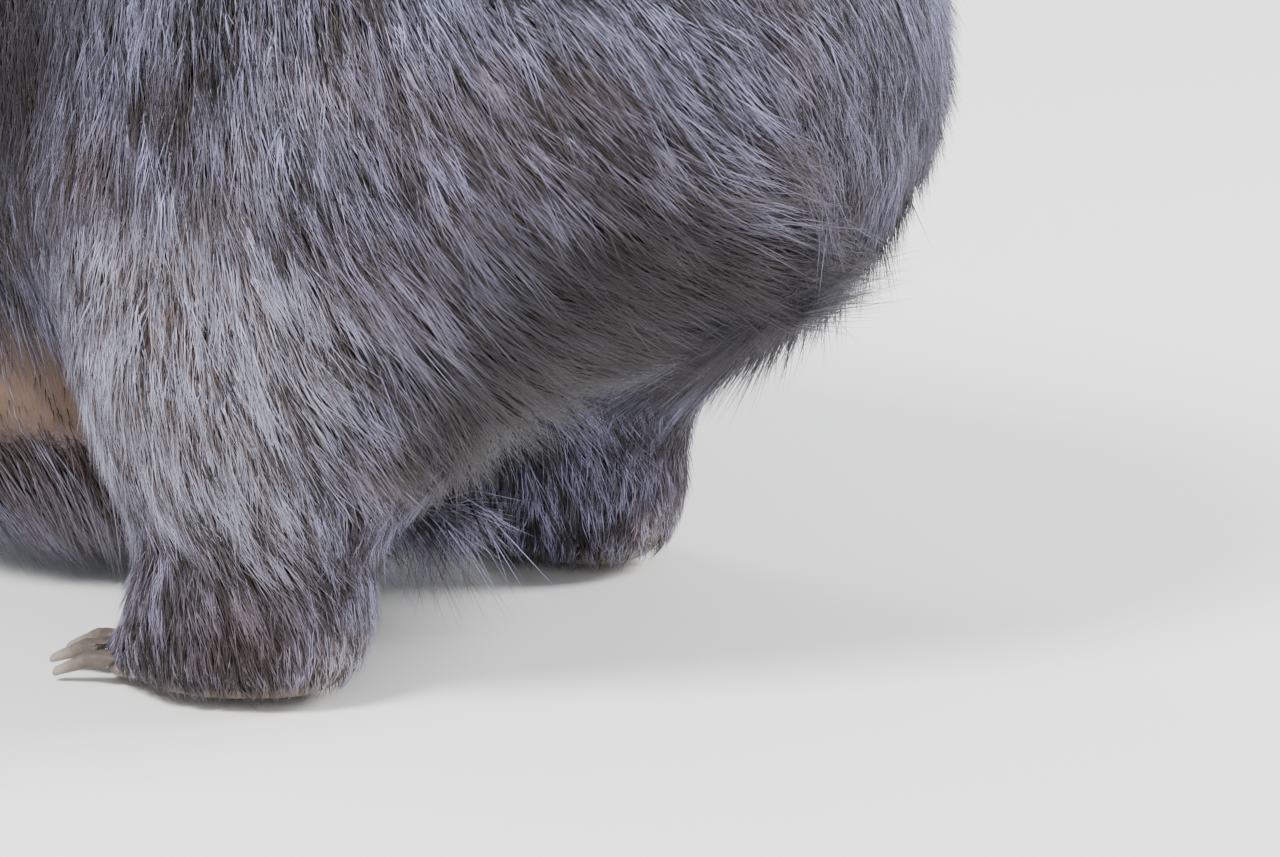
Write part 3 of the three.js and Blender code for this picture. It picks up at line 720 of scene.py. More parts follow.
def nearest(tree, points):
    """For each point the nearest place on the tree's mesh, its triangle and the distance."""
    places, faces, gaps = np.empty_like(points), np.empty(len(points), int), np.empty(len(points))
    for k, point in enumerate(points.tolist()):
        place, _, face, gap = tree.find_nearest(point)
        places[k], faces[k], gaps[k] = place, face, gap
    return places, faces, gaps


def distance_to(names, points):
    corners, faces, _ = node_arrays(names)
    return nearest(BVHTree.FromPolygons(corners.tolist(), faces.tolist()), points)[2]


def mouth_curve(tree):
    """The line of the mouth on the muzzle, from corner to corner."""
    middle = on_head(0, -0.27, -0.16)
    line = []
    for turn in np.radians(np.linspace(-108, 108, 61)):
        way = head_way(math.sin(turn), -math.cos(turn), -0.14 - 0.16 * (1 - math.cos(turn)))
        hit = tree.ray_cast(Vector(middle), Vector(way))[0]
        if hit is None:
            raise RuntimeError("The line of the mouth misses the muzzle.")
        line.append(hit)
    return np.array(line)


def to_line(points, line):
    """The distance from each point to a line of close points."""
    tree = KDTree(len(line))
    for k, spot in enumerate(line.tolist()):
        tree.insert(spot, k)
    tree.balance()
    return np.array([tree.find(point)[2] for point in points.tolist()])


def eye_axis(side):
    """The way that an eye looks."""
    return head_way(OUTWARD[side] * 0.886, -0.359, 0.295)


EYE_RADIUS = float(min(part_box("eye_left")[1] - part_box("eye_left")[0])) / 2


class Body:
    """The skin and what is known at each of its points."""

    GROWTH = ("depth", "length", "width", "density")
    made = None

    def __init__(self):
        voxel = 3.0 * MM
        corners, faces, owners = node_arrays(FLESH)
        solids = BVHTree.FromPolygons(corners.tolist(), faces.tolist()), owners
        rough = evened("skin", corners, faces, voxel)
        self.take(rough, *solids)
        self.iron_out(4)
        self.mesh = evened("skin", self.surface.points, self.surface.triangles, voxel)
        bpy.data.meshes.remove(rough)
        low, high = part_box("pouch")
        muzzle, pouch_mouth = Vector(on_head(0, -0.3, 0)), Vector((0, high.y, mix(low.z, high.z, 0.5)))
        fine = ((muzzle, 62 * MM), (pouch_mouth, 42 * MM))
        divide_near(self.mesh, lambda spot: any((spot - middle).length < reach for middle, reach in fine))
        self.take(self.mesh, *solids)
        self.iron_out(2)
        self.fields()
        self.shape()

    def take(self, mesh, tree, owners):
        """Reads a mesh of the body, and for each of its points the node that it belongs to."""
        self.surface = Surface(mesh)
        self.part = owners[nearest(tree, self.surface.points)[1]]
        self.iron = self.surface.spread_out(self.table("iron"), 14)

    def table(self, field):
        return np.array([getattr(fur_of(name), field) for name in FLESH], float)[self.part]

    def is_part(self, word):
        return np.isin(self.part, [k for k, name in enumerate(FLESH) if name.startswith(word)]).astype(float)

    def fields(self):
        """What the hair is like at each point, drawn out over the seams between the parts."""
        surface, points = self.surface, self.surface.points
        spread = surface.spread_out(np.stack([self.table(name) for name in self.GROWTH], axis=1), 14)
        self.depth, self.length, self.width, self.density = spread.T
        self.belly = belly = self.under_belly()
        self.turn_to(THIN, belly, ("depth",))
        self.turn_to(THIN, smoothstep(0.4, 0.8, belly), ("length", "width", "density"))
        self.hem = hem = self.pouch_hem()
        self.loose = self.loose_hair(belly)
        self.droop = HEM_DROOP * hem
        self.length = self.length * mix(1.0, 1.3, smoothstep(0.6, 1.0, self.loose))
        self.turn_to(HEM, hem)
        self.heel = heels(points)
        self.length = self.length * mix(1.0, 0.4, self.heel)
        feet = surface.spread_out(self.is_part("hindfoot") + self.is_part("forepaw"), 4)
        self.sole_edge = feet * smoothstep(13 * MM, 7 * MM, points[:, 2])
        self.length = self.length * mix(1.0, 0.5, feet * smoothstep(24 * MM, 12 * MM, points[:, 2]))
        self.eyes = np.min([np.linalg.norm(points - EYES[side], axis=1) for side in SIDES], axis=0)
        self.near_bare = distance_to(["nose", *CLAWS], points)
        near_ears = distance_to(["ear_left", "ear_right"], points)
        muzzle = smoothstep(0.45, 0.95, -(points - HEAD_MIDDLE) @ HEAD_BACK / (0.5 * HEAD_LENGTH))
        self.turn_to(MUZZLE, muzzle * smoothstep(0.2, 0.8, surface.spread_out(self.is_part("head"), 8)))
        self.depth = self.depth * smoothstep(-2 * MM, 16 * MM, self.near_bare)
        self.depth = self.depth * smoothstep(-2 * MM, 20 * MM, near_ears)
        self.depth = self.depth * smoothstep(0.2 * EYE_RADIUS, 3.4 * EYE_RADIUS, self.eyes)
        self.length = self.length * mix(0.35, 1.0, smoothstep(0, 26 * MM, self.near_bare))
        self.length = self.length * mix(0.3, 1.0, smoothstep(1.2 * EYE_RADIUS, 4 * EYE_RADIUS, self.eyes))

    def turn_to(self, fur, share, names=GROWTH):
        """Brings the hair towards another kind, by a share for each point."""
        for name in names:
            setattr(self, name, mix(getattr(self, name), getattr(fur, name), share))

    def under_belly(self):
        """Where the underside is thin-haired: the belly between the legs, below the fringe, and the pouch."""
        surface, (x, y, z) = self.surface, self.surface.points.T
        trunk = self.is_part("torso") * smoothstep(0.42, 0.37, z / HIGH[2])
        trunk = trunk * smoothstep(-0.2, -0.12, y / HIGH[1]) * smoothstep(0.72, 0.62, y / HIGH[1])
        trunk = trunk * smoothstep(0.95, 0.86, np.abs(x) / HIGH[0])
        return surface.spread_out(np.maximum(trunk, self.is_part("pouch")), 5)

    def loose_hair(self, belly):
        """How far the tips leave the skin and hang straight: most at the low rim of flank and rump."""
        height = self.surface.points[:, 2] / HIGH[2]
        under = smoothstep(0.0, 0.75, -self.surface.normals()[:, 2])
        rim = self.is_part("torso") * smoothstep(0.62, 0.46, height) * (0.5 + 0.5 * under)
        fringe = 4 * belly * (1 - belly)
        leg = self.is_part("hindleg") * smoothstep(0.2, 0.3, height) * (0.3 + 0.7 * under)
        most = np.max([rim, fringe, leg, self.hem], axis=0)
        return 0.12 + 0.88 * self.surface.spread_out(most, 8)

    def pouch_hem(self):
        """Where long dark hair hangs from the lower part of the pouch."""
        low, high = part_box("pouch")
        height = (self.surface.points[:, 2] - low.z) / (high.z - low.z)
        return smoothstep(0.62, 0.38, height) * self.surface.spread_out(self.is_part("pouch"), 6)

    def iron_out(self, rounds):
        """Wears the locks of the solids down to the plain form between them."""
        surface = self.surface
        for _ in range(rounds):
            plain = surface.spread_out(surface.points, 40, weight=self.iron)
            proud = dot(surface.points - plain, surface.normals())
            surface.points = np.where(proud > 0, plain, surface.points)

    def shape(self):
        """Moves the skin in under the coat, and sinks the mouth and the eyes."""
        surface = self.surface
        surface.points = surface.points - surface.normals() * (self.depth * MM)[:, None]
        surface.points = surface.spread_out(surface.points, 4, weight=np.maximum(self.iron, 0.2))
        floor = surface.points[:, 2] < 0.4 * MM
        surface.points[floor, 2] = 0.4 * MM
        self.sink_mouth()
        self.sink_eyes()
        self.normals = surface.normals()
        self.tree = surface.tree()
        put_points(self.mesh, surface.points)

    def sink_mouth(self):
        surface = self.surface
        line = mouth_curve(surface.tree())
        front = np.linalg.norm(surface.points - on_head(0, -0.3, -0.1), axis=1) < 80 * MM
        gap = np.full(len(surface.points), 1.0)
        gap[front] = to_line(surface.points[front], line)
        groove = np.exp(-((gap / (2.0 * MM)) ** 2)) * 3.2 * MM
        lips = np.exp(-(((gap - 4.2 * MM) / (2.2 * MM)) ** 2)) * 0.9 * MM
        surface.points = surface.points + surface.normals() * (lips - groove)[:, None]
        self.mouth = gap

    def sink_eyes(self):
        """Leaves a pit for each ball, which the lids hide."""
        points = self.surface.points
        for side in SIDES:
            axis, middle = eye_axis(side), EYES[side]
            off = points - middle
            height = off @ axis
            flat = np.linalg.norm(off - height[:, None] * axis, axis=1)
            pit = 1 - smoothstep(0.85 * EYE_RADIUS, 1.12 * EYE_RADIUS, flat)
            near = np.linalg.norm(off, axis=1) < 2.2 * EYE_RADIUS
            drop = np.maximum(height + 0.3 * EYE_RADIUS, 0) * pit * near
            points -= drop[:, None] * axis


def body():
    if Body.made is None:
        Body.made = Body()
    return Body.made


# Places where the coat differs, on both sides, some of them painted light: the place in the whole box, its
# size, how light, how warm
MARKS_AND_PAINTED_LIGHT = [
    # Painted sheen on the front of the thigh and on the leg below it, which is also browner
    ((0.99, 0.57, 0.42), 64, 0.8, -0.2),
    ((0.92, 0.61, 0.24), 45, 0.25, 0.35),
    # The next four darken the low rim of the rump: painted shade under its overhang
    ((0.63, 0.85, 0.42), 60, -0.55, 0.05),
    ((0.72, 0.76, 0.34), 34, -0.45, 0.1),
    ((0.36, 0.9, 0.4), 50, -0.35, 0.1),
    ((0.0, 0.92, 0.4), 42, -0.4, 0.15),
    ((0.1, 0.98, 0.6), 75, -0.08, 0.0),
    ((0.92, 0.73, 0.52), 34, -0.05, 0.6),
    ((0.65, 0.88, 0.57), 36, 0.0, 0.5),
    ((0.86, 0.6, 0.08), 46, -0.2, 0.7),
    ((0.9, 0.38, 0.66), 75, -0.5, 0.1),
    ((0.85, 0.0, 0.6), 80, -0.2, 0.15),
    ((0.45, 0.27, 0.27), 60, 0.2, 0.5),
    ((0.3, 0.3, 0.1), 50, 0.05, 0.35),
    ((0.0, 0.1, 1.0), 140, -0.1, 0.05),
]
HEEL_SPOT = np.array([22, 14, 16])


def heels(points):
    """Where the back of each hind foot is rubbed pale, from 0 to 1."""
    total = np.zeros(len(points))
    for side in SIDES:
        low, high = (np.array(corner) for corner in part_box(f"hindfoot_{side}"))
        middle = np.array([mix(low[0], high[0], 0.5), high[1], mix(low[2], high[2], 0.42)])
        total += np.exp(-np.sum(((points - middle) / (HEEL_SPOT * MM)) ** 2, axis=1))
    return total


def markings_and_painted_light(points):
    """How light and how warm the coat is at each place, from 0 to 1, with 0.5 and 0 plain. Besides the coat's
    own tone it holds painted light: a sheen on the front of the thigh and shade on the low rump.
    """
    shade = 0.52 + 0.14 * cloud(points, 55 * MM, 21) + 0.08 * cloud(points, 24 * MM, 22)
    shade += heels(points)
    warm = 0.12 + 0.2 * cloud(points, 70 * MM, 23)
    warm += 0.5 * smoothstep(0.1, 0.55, 0.6 * cloud(points, 38 * MM, 24) + 0.4 * cloud(points, 16 * MM, 25))
    for (x, y, z), size, lighter, warmer in MARKS_AND_PAINTED_LIGHT:
        for side in (1, -1) if x else (1,):
            away = np.linalg.norm(points - on_body(side * x, y, z), axis=1) / (size * MM)
            near = np.exp(-(away**2))
            shade += lighter * near
            warm += warmer * near
    return np.clip(shade, 0, 1), np.clip(warm, 0, 1)


# Tufts
STATIONS = (0.0, 0.4, 1.0)
TURNS = np.radians([90, 210, 330])
TUFT_POINTS = 7
TUFT_FACES = np.array(
    [
        (0, 3, 4), (0, 4, 1), (1, 4, 5), (1, 5, 2), (2, 5, 3),
        (2, 3, 0), (3, 6, 4), (4, 6, 5), (5, 6, 3), (0, 1, 2),
    ]
)
PATCH = 0.003
PATCH_CORNERS = np.array([(-0.4, 0), (0, 0), (0.4, 0), (-0.3, 0.5), (0, 0.5), (0.3, 0.5), (0, 1)]) * PATCH
MOST_TUFTS = 19500
NEAR_LENGTH = 0.8
TUFT_FLOOR = 1.2 * MM


def tuft_points(spots, sides, ups, widths):
    """The seven corners of each tuft: three at its root, three on its way and its tip."""
    corners = np.empty((len(spots), TUFT_POINTS, 3))
    for ring, wide in enumerate((1.0, 0.82)):
        for k, turn in enumerate(TURNS):
            out = math.cos(turn) * sides + 0.55 * math.sin(turn) * ups
            corners[:, 3 * ring + k] = spots[:, ring] + out * (widths * wide / 2)[:, None]
    corners[:, 6] = spots[:, 2]
    return corners


def tuft_mesh(name, corners, unwrapped, values):
    """One mesh of many closed tufts, with the values of each root at all its corners."""
    count = len(corners)
    faces = (TUFT_FACES[None] + TUFT_POINTS * np.arange(count)[:, None, None]).reshape(-1, 3)
    mesh = bpy.data.meshes.new(name)
    mesh.vertices.add(count * TUFT_POINTS)
    mesh.loops.add(faces.size)
    mesh.polygons.add(len(faces))
    mesh.vertices.foreach_set("co", corners.astype(np.float32).ravel())
    mesh.loops.foreach_set("vertex_index", faces.astype(np.int32).ravel())
    mesh.polygons.foreach_set("loop_start", np.arange(0, faces.size, 3, dtype=np.int32))
    mesh.update(calc_edges=True)
    shade_smooth(mesh)
    along = np.tile(np.repeat(STATIONS, (3, 3, 1)), count)
    each = {key: np.repeat(value, TUFT_POINTS, axis=0) for key, value in values.items()}
    put_values(mesh, along=along, **each)
    patch = (unwrapped[:, None] + PATCH_CORNERS[None])[:, TUFT_FACES].reshape(-1, 2)
    mesh.uv_layers.new(name="OFBake").data.foreach_set("uv", patch.astype(np.float32).ravel())
    return mesh


def fitted(values):
    """Values brought to the room of a map, clear of its edges."""
    low, high = values.min(), values.max()
    return 0.004 + (values - low) / max(high - low, 1e-9) * 0.986


class Roots:
    """Where the tufts of a surface stand, and what each of them takes from it."""

    def __init__(self, surface, normals, density, seed, **fields):
        draw = np.random.default_rng(seed)
        triangles = surface.triangles
        hoped = surface.areas() / MM**2 * density[triangles].mean(axis=1)
        counts = np.floor(hoped + draw.random(len(hoped))).astype(int)
        face = np.repeat(np.arange(len(triangles)), counts)
        a, b = draw.random(len(face)), draw.random(len(face))
        over = a + b > 1
        a[over], b[over] = 1 - a[over], 1 - b[over]
        weights = np.stack([1 - a - b, a, b], axis=1)[:, :, None]

        def take(values):
            return np.sum(values.reshape(len(values), -1)[triangles[face]] * weights, axis=1)

        self.points = take(surface.points)
        self.normals = unit(take(normals))
        fields["density"] = np.maximum(density, 1e-3)
        self.fields = {name: take(values)[:, 0] for name, values in fields.items()}
        self.draw = draw
        self.corner = triangles[face, 0]

    def __len__(self):
        return len(self.points)


def clumps(roots, spacing, draw):
    """For each root the root at the heart of its clump, and some random numbers of that clump."""
    heart = np.flatnonzero(draw.random(len(roots)) < 1 / (roots.fields["density"] * spacing**2))
    tree = KDTree(len(heart))
    for k, spot in enumerate(roots.points[heart].tolist()):
        tree.insert(spot, k)
    tree.balance()
    own = np.array([tree.find(spot)[1] for spot in roots.points.tolist()])
    return roots.points[heart][own], draw.normal(size=(len(heart), 4))[own]


def tuft_lines(roots, ways, tree, bundles):
    """The root, the middle and the tip of each tuft, drawn together in bundles, and the traits of those."""
    draw, fields = roots.draw, roots.fields
    count = len(roots)
    gather, traits = np.zeros((count, 3)), np.zeros((count, 4))
    for spacing, pull, say in bundles:
        hearts, own = clumps(roots, spacing, draw)
        gather += (hearts - roots.points) * pull
        traits += own * say
    across = np.cross(roots.normals, ways)
    turn = 0.13 * traits[:, 0] + 0.09 * draw.normal(size=count)
    ways = unit(ways * np.cos(turn)[:, None] + across * np.sin(turn)[:, None])
    uneven = np.clip(1 + 0.12 * traits[:, 1] + 0.16 * draw.normal(size=count), 0.5, 1.45)
    length = fields["length"] * MM * uneven
    depth = fields["depth"] * MM
    gather -= dot(gather, roots.normals) * roots.normals
    gather -= 0.6 * dot(gather, ways) * ways
    gather *= np.clip(1 + 0.3 * draw.normal(size=count), 0.2, 1.5)[:, None]
    reach = ways * length[:, None] + gather
    ground, faces, _ = nearest(tree.tree, roots.points + reach)
    above = unit(tree.face_normals[faces])
    proud = np.clip(0.88 + 0.3 * traits[:, 2] + 0.16 * draw.normal(size=count), 0.15, 2.0)
    loose = np.clip(fields["loose"] * (1 + 0.5 * traits[:, 1] + 0.3 * draw.normal(size=count)), 0, 1)[:, None]
    bend = (ground - roots.points - reach) * (1 - loose)
    tips = roots.points + reach + bend + above * (depth * proud)[:, None]
    share = STATIONS[1]
    middles = roots.points + reach * share + bend * share**2
    middles += unit(mix(roots.normals, above, share)) * (depth * mix(0.45, 0.8, draw.random(count)))[:, None]
    middles -= gather * 0.2
    tips[:, 2] -= fields["droop"] * MM
    middles[:, 2] -= fields["droop"] * MM * share**2
    starts = roots.points - roots.normals * 0.5 * MM
    lines = np.stack([starts, middles, tips], axis=1)
    lines[:, 1:, 2] = np.maximum(lines[:, 1:, 2], TUFT_FLOOR)
    return lines, traits


class Ground:
    """The skin as a tree to find the nearest place on, with the normal of each triangle."""

    def __init__(self, surface):
        a, b, c = (surface.points[surface.triangles[:, k]] for k in range(3))
        self.face_normals = np.cross(b - a, c - a)
        self.tree = surface.tree()


def tuft_frames(lines, normals):
    ahead = unit(lines[:, 1] - lines[:, 0])
    sides = unit(np.cross(ahead, normals))
    return sides, np.cross(sides, ahead)


def grow(prefix, roots, ways, ground, regions, unwrap, material, bundles):
    """Makes the tufts and parts them into pieces by region, each small enough for one map."""
    lines, traits = tuft_lines(roots, ways, ground, bundles)
    sides, ups = tuft_frames(lines, roots.normals)
    widths = roots.fields["width"] * MM * np.clip(1 + 0.2 * roots.draw.normal(size=len(roots)), 0.5, 1.6)
    corners = tuft_points(lines, sides, ups, widths)
    shade, warm = markings_and_painted_light(roots.points)
    tint = np.clip(0.5 + 0.25 * traits[:, 3] + 0.13 * roots.draw.normal(size=len(roots)), 0, 1)
    values = {"tint": tint, "shade": shade, "warm": warm}
    turned, level = unwrap(roots.points)
    for region in sorted(set(regions)):
        own = np.flatnonzero(regions == region)
        own = own[np.argsort(level[own], kind="stable")]
        shares = np.array_split(own, math.ceil(len(own) / MOST_TUFTS))
        for number, some in enumerate(shares, 1):
            name = f"{prefix}_{region}" + (f"_{number}" if len(shares) > 1 else "")
            flat = np.stack([fitted(turned[some]), fitted(level[some])], axis=1)
            mesh = tuft_mesh(name, corners[some], flat, {key: v[some] for key, v in values.items()})
            mesh.materials.append(material)
            dress(add_object(name, mesh), "coat")


def dress(piece, slot, *nodes):
    """Rides a finished piece on the body and hides the nodes that it stands for. The slot is not used."""
    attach(piece, "root")
    if nodes:
        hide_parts(*nodes)


# Settings
def size_setting(name, description, default):
    return bpy.props.FloatProperty(name=name, description=description, default=default, unit="LENGTH")


def tone_setting(name, description, text):
    return bpy.props.FloatVectorProperty(
        name=name, description=description, default=colour_of(text), subtype="COLOR", size=3, min=0, max=1
    )


class WombatSettings(bpy.types.PropertyGroup):
    """Sizes and amounts that a user may change."""

    lock: size_setting("Lock", "How far apart the locks of the coat stand", 0.012)
    strand: size_setting("Strand", "How far apart the strands within a lock stand", 0.0036)
    near_width: size_setting("Near width", "How wide a tuft is on the near rump and hind leg", 0.00065)
    whisker_length: size_setting("Whiskers", "The longest whisker of the muzzle", 0.058)
    fullness: bpy.props.FloatProperty(
        name="Fullness",
        description="How many tufts grow, against the full coat",
        default=1.0,
        subtype="FACTOR",
    )
    near_fullness: bpy.props.FloatProperty(
        name="Near fullness",
        description="How many tufts grow on each square millimetre of the near rump and hind leg",
        default=0.43,
    )


class WombatColours(bpy.types.PropertyGroup):
    """The colours of the coat, the skin and the stage."""

    # The roots are dark partly as underfur and partly as painted shade between the tufts
    root: tone_setting("Roots", "Plain roots of the coat", "1d1715")
    warm_root: tone_setting("Warm roots", "Roots where the coat is brown", "2c1e17")
    tip: tone_setting("Tips", "Plain tips of the coat", "6d6775")
    # Silver: the pale tips of the hair, their bluish tone a painted sheen
    silver: tone_setting("Silver", "The palest tips", "a9abd0")
    warm_tip: tone_setting("Warm tips", "Tips where the coat is brown", "775c50")
    # Dark tips also colour the painted shade on the low rump
    dark_tip: tone_setting("Dark tips", "Tips where the coat is dark", "322d34")
    # Pale colours the rubbed heels and also the painted sheen on the front of the thigh
    pale: tone_setting("Pale", "Worn and light places", "c4c5da")
    hide: tone_setting("Hide", "Bare skin of soles and heels", "8f8376")
    hide_dark: tone_setting("Dark hide", "The folds of bare skin", "584c42")
    pouch: tone_setting("Pouch", "Thin-haired skin of the pouch", "806a5c")
    pouch_dark: tone_setting("Dark pouch", "The folds of the pouch", "4c3b31")
    cup: tone_setting("Ear cup", "Skin inside the ear", "77645f")
    cup_dark: tone_setting("Dark ear cup", "The veins and depth of the ear", "4a3b38")
    nose: tone_setting("Nose", "Bare skin of the nose", "4a4142")
    nose_dark: tone_setting("Dark nose", "Between the pebbles of the nose", "2b2526")
    lid: tone_setting("Lids", "Skin of the lids", "2b2422")
    lid_dark: tone_setting("Lid rims", "The rims of the lids", "1d1817")
    iris: tone_setting("Iris", "Rays of the iris", "3a2216")
    iris_dark: tone_setting("Dark iris", "Between the rays of the iris", "1d110b")
    pupil: tone_setting("Pupil", "The pupil", "050404")
    sclera: tone_setting("Ball", "The ball beyond the iris", "150e0b")
    claw: tone_setting("Claws", "Horn of the claws", "5d524a")
    claw_dark: tone_setting("Dark claws", "The grain of the claws", "37302b")
    claw_worn: tone_setting("Worn claws", "The worn tips of the claws", "9a9085")
    whisker: tone_setting("Whiskers", "The whiskers at their root", "211c1a")
    floor: tone_setting("Floor", "The studio floor", "eae9e6")


def settings():
    return bpy.context.scene.wombat


def colours():
    return bpy.context.scene.wombat_colours


# Pieces
FLOOR_RADIUS = 60
# The soft lights: name, place, what it faces, width and power in watts
LIGHTS = (
    ("key", (2.6, 0.2, 2.9), (0, 0.25, 0.2), 1.2, 270),
    ("fill", (3.0, 3.2, 1.9), (0, 0.25, 0.2), 2.0, 50),
    ("rear", (-2.2, 2.6, 2.3), (0, 0.25, 0.25), 1.4, 250),
    ("front", (-0.8, -3.2, 2.4), (0, -0.2, 0.2), 1.8, 90),
)
# The camera, fitted to the outline in the photo: where it stands from the near heel, and what it looks at
CAMERA_PLACE = Vector((2.9762, 2.4123, 1.0768))
CAMERA_AIM = Vector((-0.1234, 0.0766, 0.1091))
CAMERA_LENS = 293.6


class WOMBAT_OT_stage(bpy.types.Operator):
    """Makes the floor, the soft lights and the camera"""

    bl_idname = "wombat.stage"
    bl_label = "Stage"

    def execute(self, context):
        scene = context.scene
        turns = np.radians(np.arange(0, 360, 3))
        rim = [(FLOOR_RADIUS * math.cos(t), FLOOR_RADIUS * math.sin(t), 0) for t in turns]
        mesh = mesh_from("floor", rim, [tuple(range(len(rim)))])
        mesh.materials.append(floor_material(colours()))
        add_object("floor", mesh)
        world = bpy.data.worlds.new("studio")
        world.use_nodes = True
        air = world.node_tree.nodes["Background"]
        air.inputs["Color"].default_value = (0.86, 0.92, 1.0, 1.0)
        air.inputs["Strength"].default_value = 0.9
        scene.world = world
        for light in LIGHTS:
            self.area(*light)
        camera = bpy.data.objects.new("camera", bpy.data.cameras.new("camera"))
        camera.data.sensor_width = 36.0
        camera.data.lens = CAMERA_LENS
        camera.data.clip_end = 200.0
        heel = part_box("hindfoot_left")[1] * Vector((1, 1, 0))
        camera.location = heel + CAMERA_PLACE
        aim = heel + CAMERA_AIM
        camera.rotation_euler = (aim - camera.location).to_track_quat("-Z", "Y").to_euler()
        scene.collection.objects.link(camera)
        scene.camera = camera
        return {"FINISHED"}

    @staticmethod
    def area(name, place, aim, size, power):
        light = bpy.data.lights.new(name, "AREA")
        light.shape = "DISK"
        light.size = size
        light.energy = power
        lamp = bpy.data.objects.new(name, light)
        lamp.location = place
        lamp.rotation_euler = (Vector(aim) - Vector(place)).to_track_quat("-Z", "Y").to_euler()
        bpy.context.scene.collection.objects.link(lamp)


class WOMBAT_OT_skin(bpy.types.Operator):
    """Makes the one skin that takes the place of the nodes of flesh"""

    bl_idname = "wombat.skin"
    bl_label = "Skin"

    def execute(self, context):
        beast = body()
        shade, warm = markings_and_painted_light(beast.surface.points)
        lips = np.exp(-((beast.mouth / (2.6 * MM)) ** 2))
        bare = np.clip(beast.sole_edge + lips, 0, 1)
        thin = beast.belly * (1 - beast.hem)
        put_values(beast.mesh, shade=shade, warm=warm, bare=bare, thin=thin)
        clad(beast.mesh, skin_material(colours()))
        dress(add_object("skin", beast.mesh), "coat", *FLESH)
        return {"FINISHED"}


class WOMBAT_OT_coat(bpy.types.Operator):
    """Grows the tufts of the coat over the skin"""

    bl_idname = "wombat.coat"
    bl_label = "Coat"

    def execute(self, context):
        beast, choice = body(), settings()
        surface, normals = beast.surface, beast.normals
        points = surface.points
        fullness = choice.fullness * 1.0
        near = self.near_side(beast, points, normals)
        density = mix(beast.density, choice.near_fullness, near) * fullness
        width = mix(beast.width, choice.near_width / MM, near) / math.sqrt(fullness)
        density = density * self.grown(beast)
        length = beast.length * mix(1.0, NEAR_LENGTH, near * smoothstep(1.0, 0.6, beast.loose))
        fields = {name: getattr(beast, name) for name in ("depth", "loose", "droop")}
        roots = Roots(surface, normals, density, 7, length=length, width=width, **fields)
        roots.part = beast.part[roots.corner]
        ways = flow_at(roots.points, roots.normals)
        regions = self.regions(roots)
        bundles = ((choice.lock / MM, 0.35, 0.3), (choice.strand / MM, 0.8, 0.95))
        hair = hair_material("wombat hair", colours())

        def unwrap(spots):
            return self.unwrap(spots, roots)

        grow("coat", roots, ways, Ground(surface), regions, unwrap, hair, bundles)
        return {"FINISHED"}

    @staticmethod
    def near_side(beast, points, normals):
        """Where the coat is seen from close by: the left side of the rump and the left hind leg."""
        facing = smoothstep(-0.3, 0.05, normals @ unit(np.array([0.74, 0.62, 0.25])))
        along = smoothstep(0.2, 0.34, points[:, 1] / HIGH[1])
        below = smoothstep(0.93, 0.78, points[:, 2] / HIGH[2])
        return facing * along * below * (1 - beast.belly) * (1 - beast.is_part("tail"))

    @staticmethod
    def grown(beast):
        """How much of the hair grows: none on soles, lips, lids and the nose."""
        open_eye = smoothstep(1.05 * EYE_RADIUS, 1.3 * EYE_RADIUS, beast.eyes)
        lips = smoothstep(1.2 * MM, 3.2 * MM, beast.mouth)
        bare = smoothstep(0.6 * MM, 2.0 * MM, beast.near_bare)
        return np.clip(1 - beast.sole_edge, 0, 1) * open_eye * lips * bare * (1 - 0.6 * beast.heel)

    @staticmethod
    def regions(roots):
        part = np.array(FLESH)[roots.part]
        x, y, z = roots.points.T
        side = np.where(x > 0, "left", "right")
        top = roots.normals[:, 2] > 0.72
        under = roots.normals[:, 2] < -0.55
        names = np.where(y > 0.3 * HIGH[1], "rump", "flank").astype("<U24")
        names = np.char.add(np.char.add(names, "_"), side)
        names = np.where(top, "back", names)
        names = np.where(under, "belly", names)
        for word, name in (("head", "head"), ("neck", "neck"), ("pouch", "belly"), ("tail", "rump_left")):
            names = np.where(np.char.startswith(part, word), name, names)
        for words, name in ((("hindleg", "hindfoot"), "hindleg"), (("foreleg", "forepaw"), "foreleg")):
            for word in words:
                for end in SIDES:
                    names = np.where(part == f"{word}_{end}", f"{name}_{end}", names)
        return names

    @staticmethod
    def unwrap(points, roots):
        """Round the long axis of the trunk, or round the upright axis of a leg."""
        part = np.array(FLESH)[roots.part]
        axis = 0.58 * HIGH[2]
        turned = np.arctan2(points[:, 0], points[:, 2] - axis)
        under = np.arctan2(points[:, 0], axis - points[:, 2])
        turned = np.where(points[:, 2] < 0.3 * HIGH[2], under, turned)
        level = points[:, 1].copy()
        for leg, foot in zip(LEGS, FEET):
            for side in SIDES:
                own = (part == f"{leg}_{side}") | (part == f"{foot}_{side}")
                middle = box_middle(f"{leg}_{side}")
                turned[own] = np.arctan2(points[own, 0] - middle[0], points[own, 1] - middle[1])
                level[own] = points[own, 2]
        return turned, level


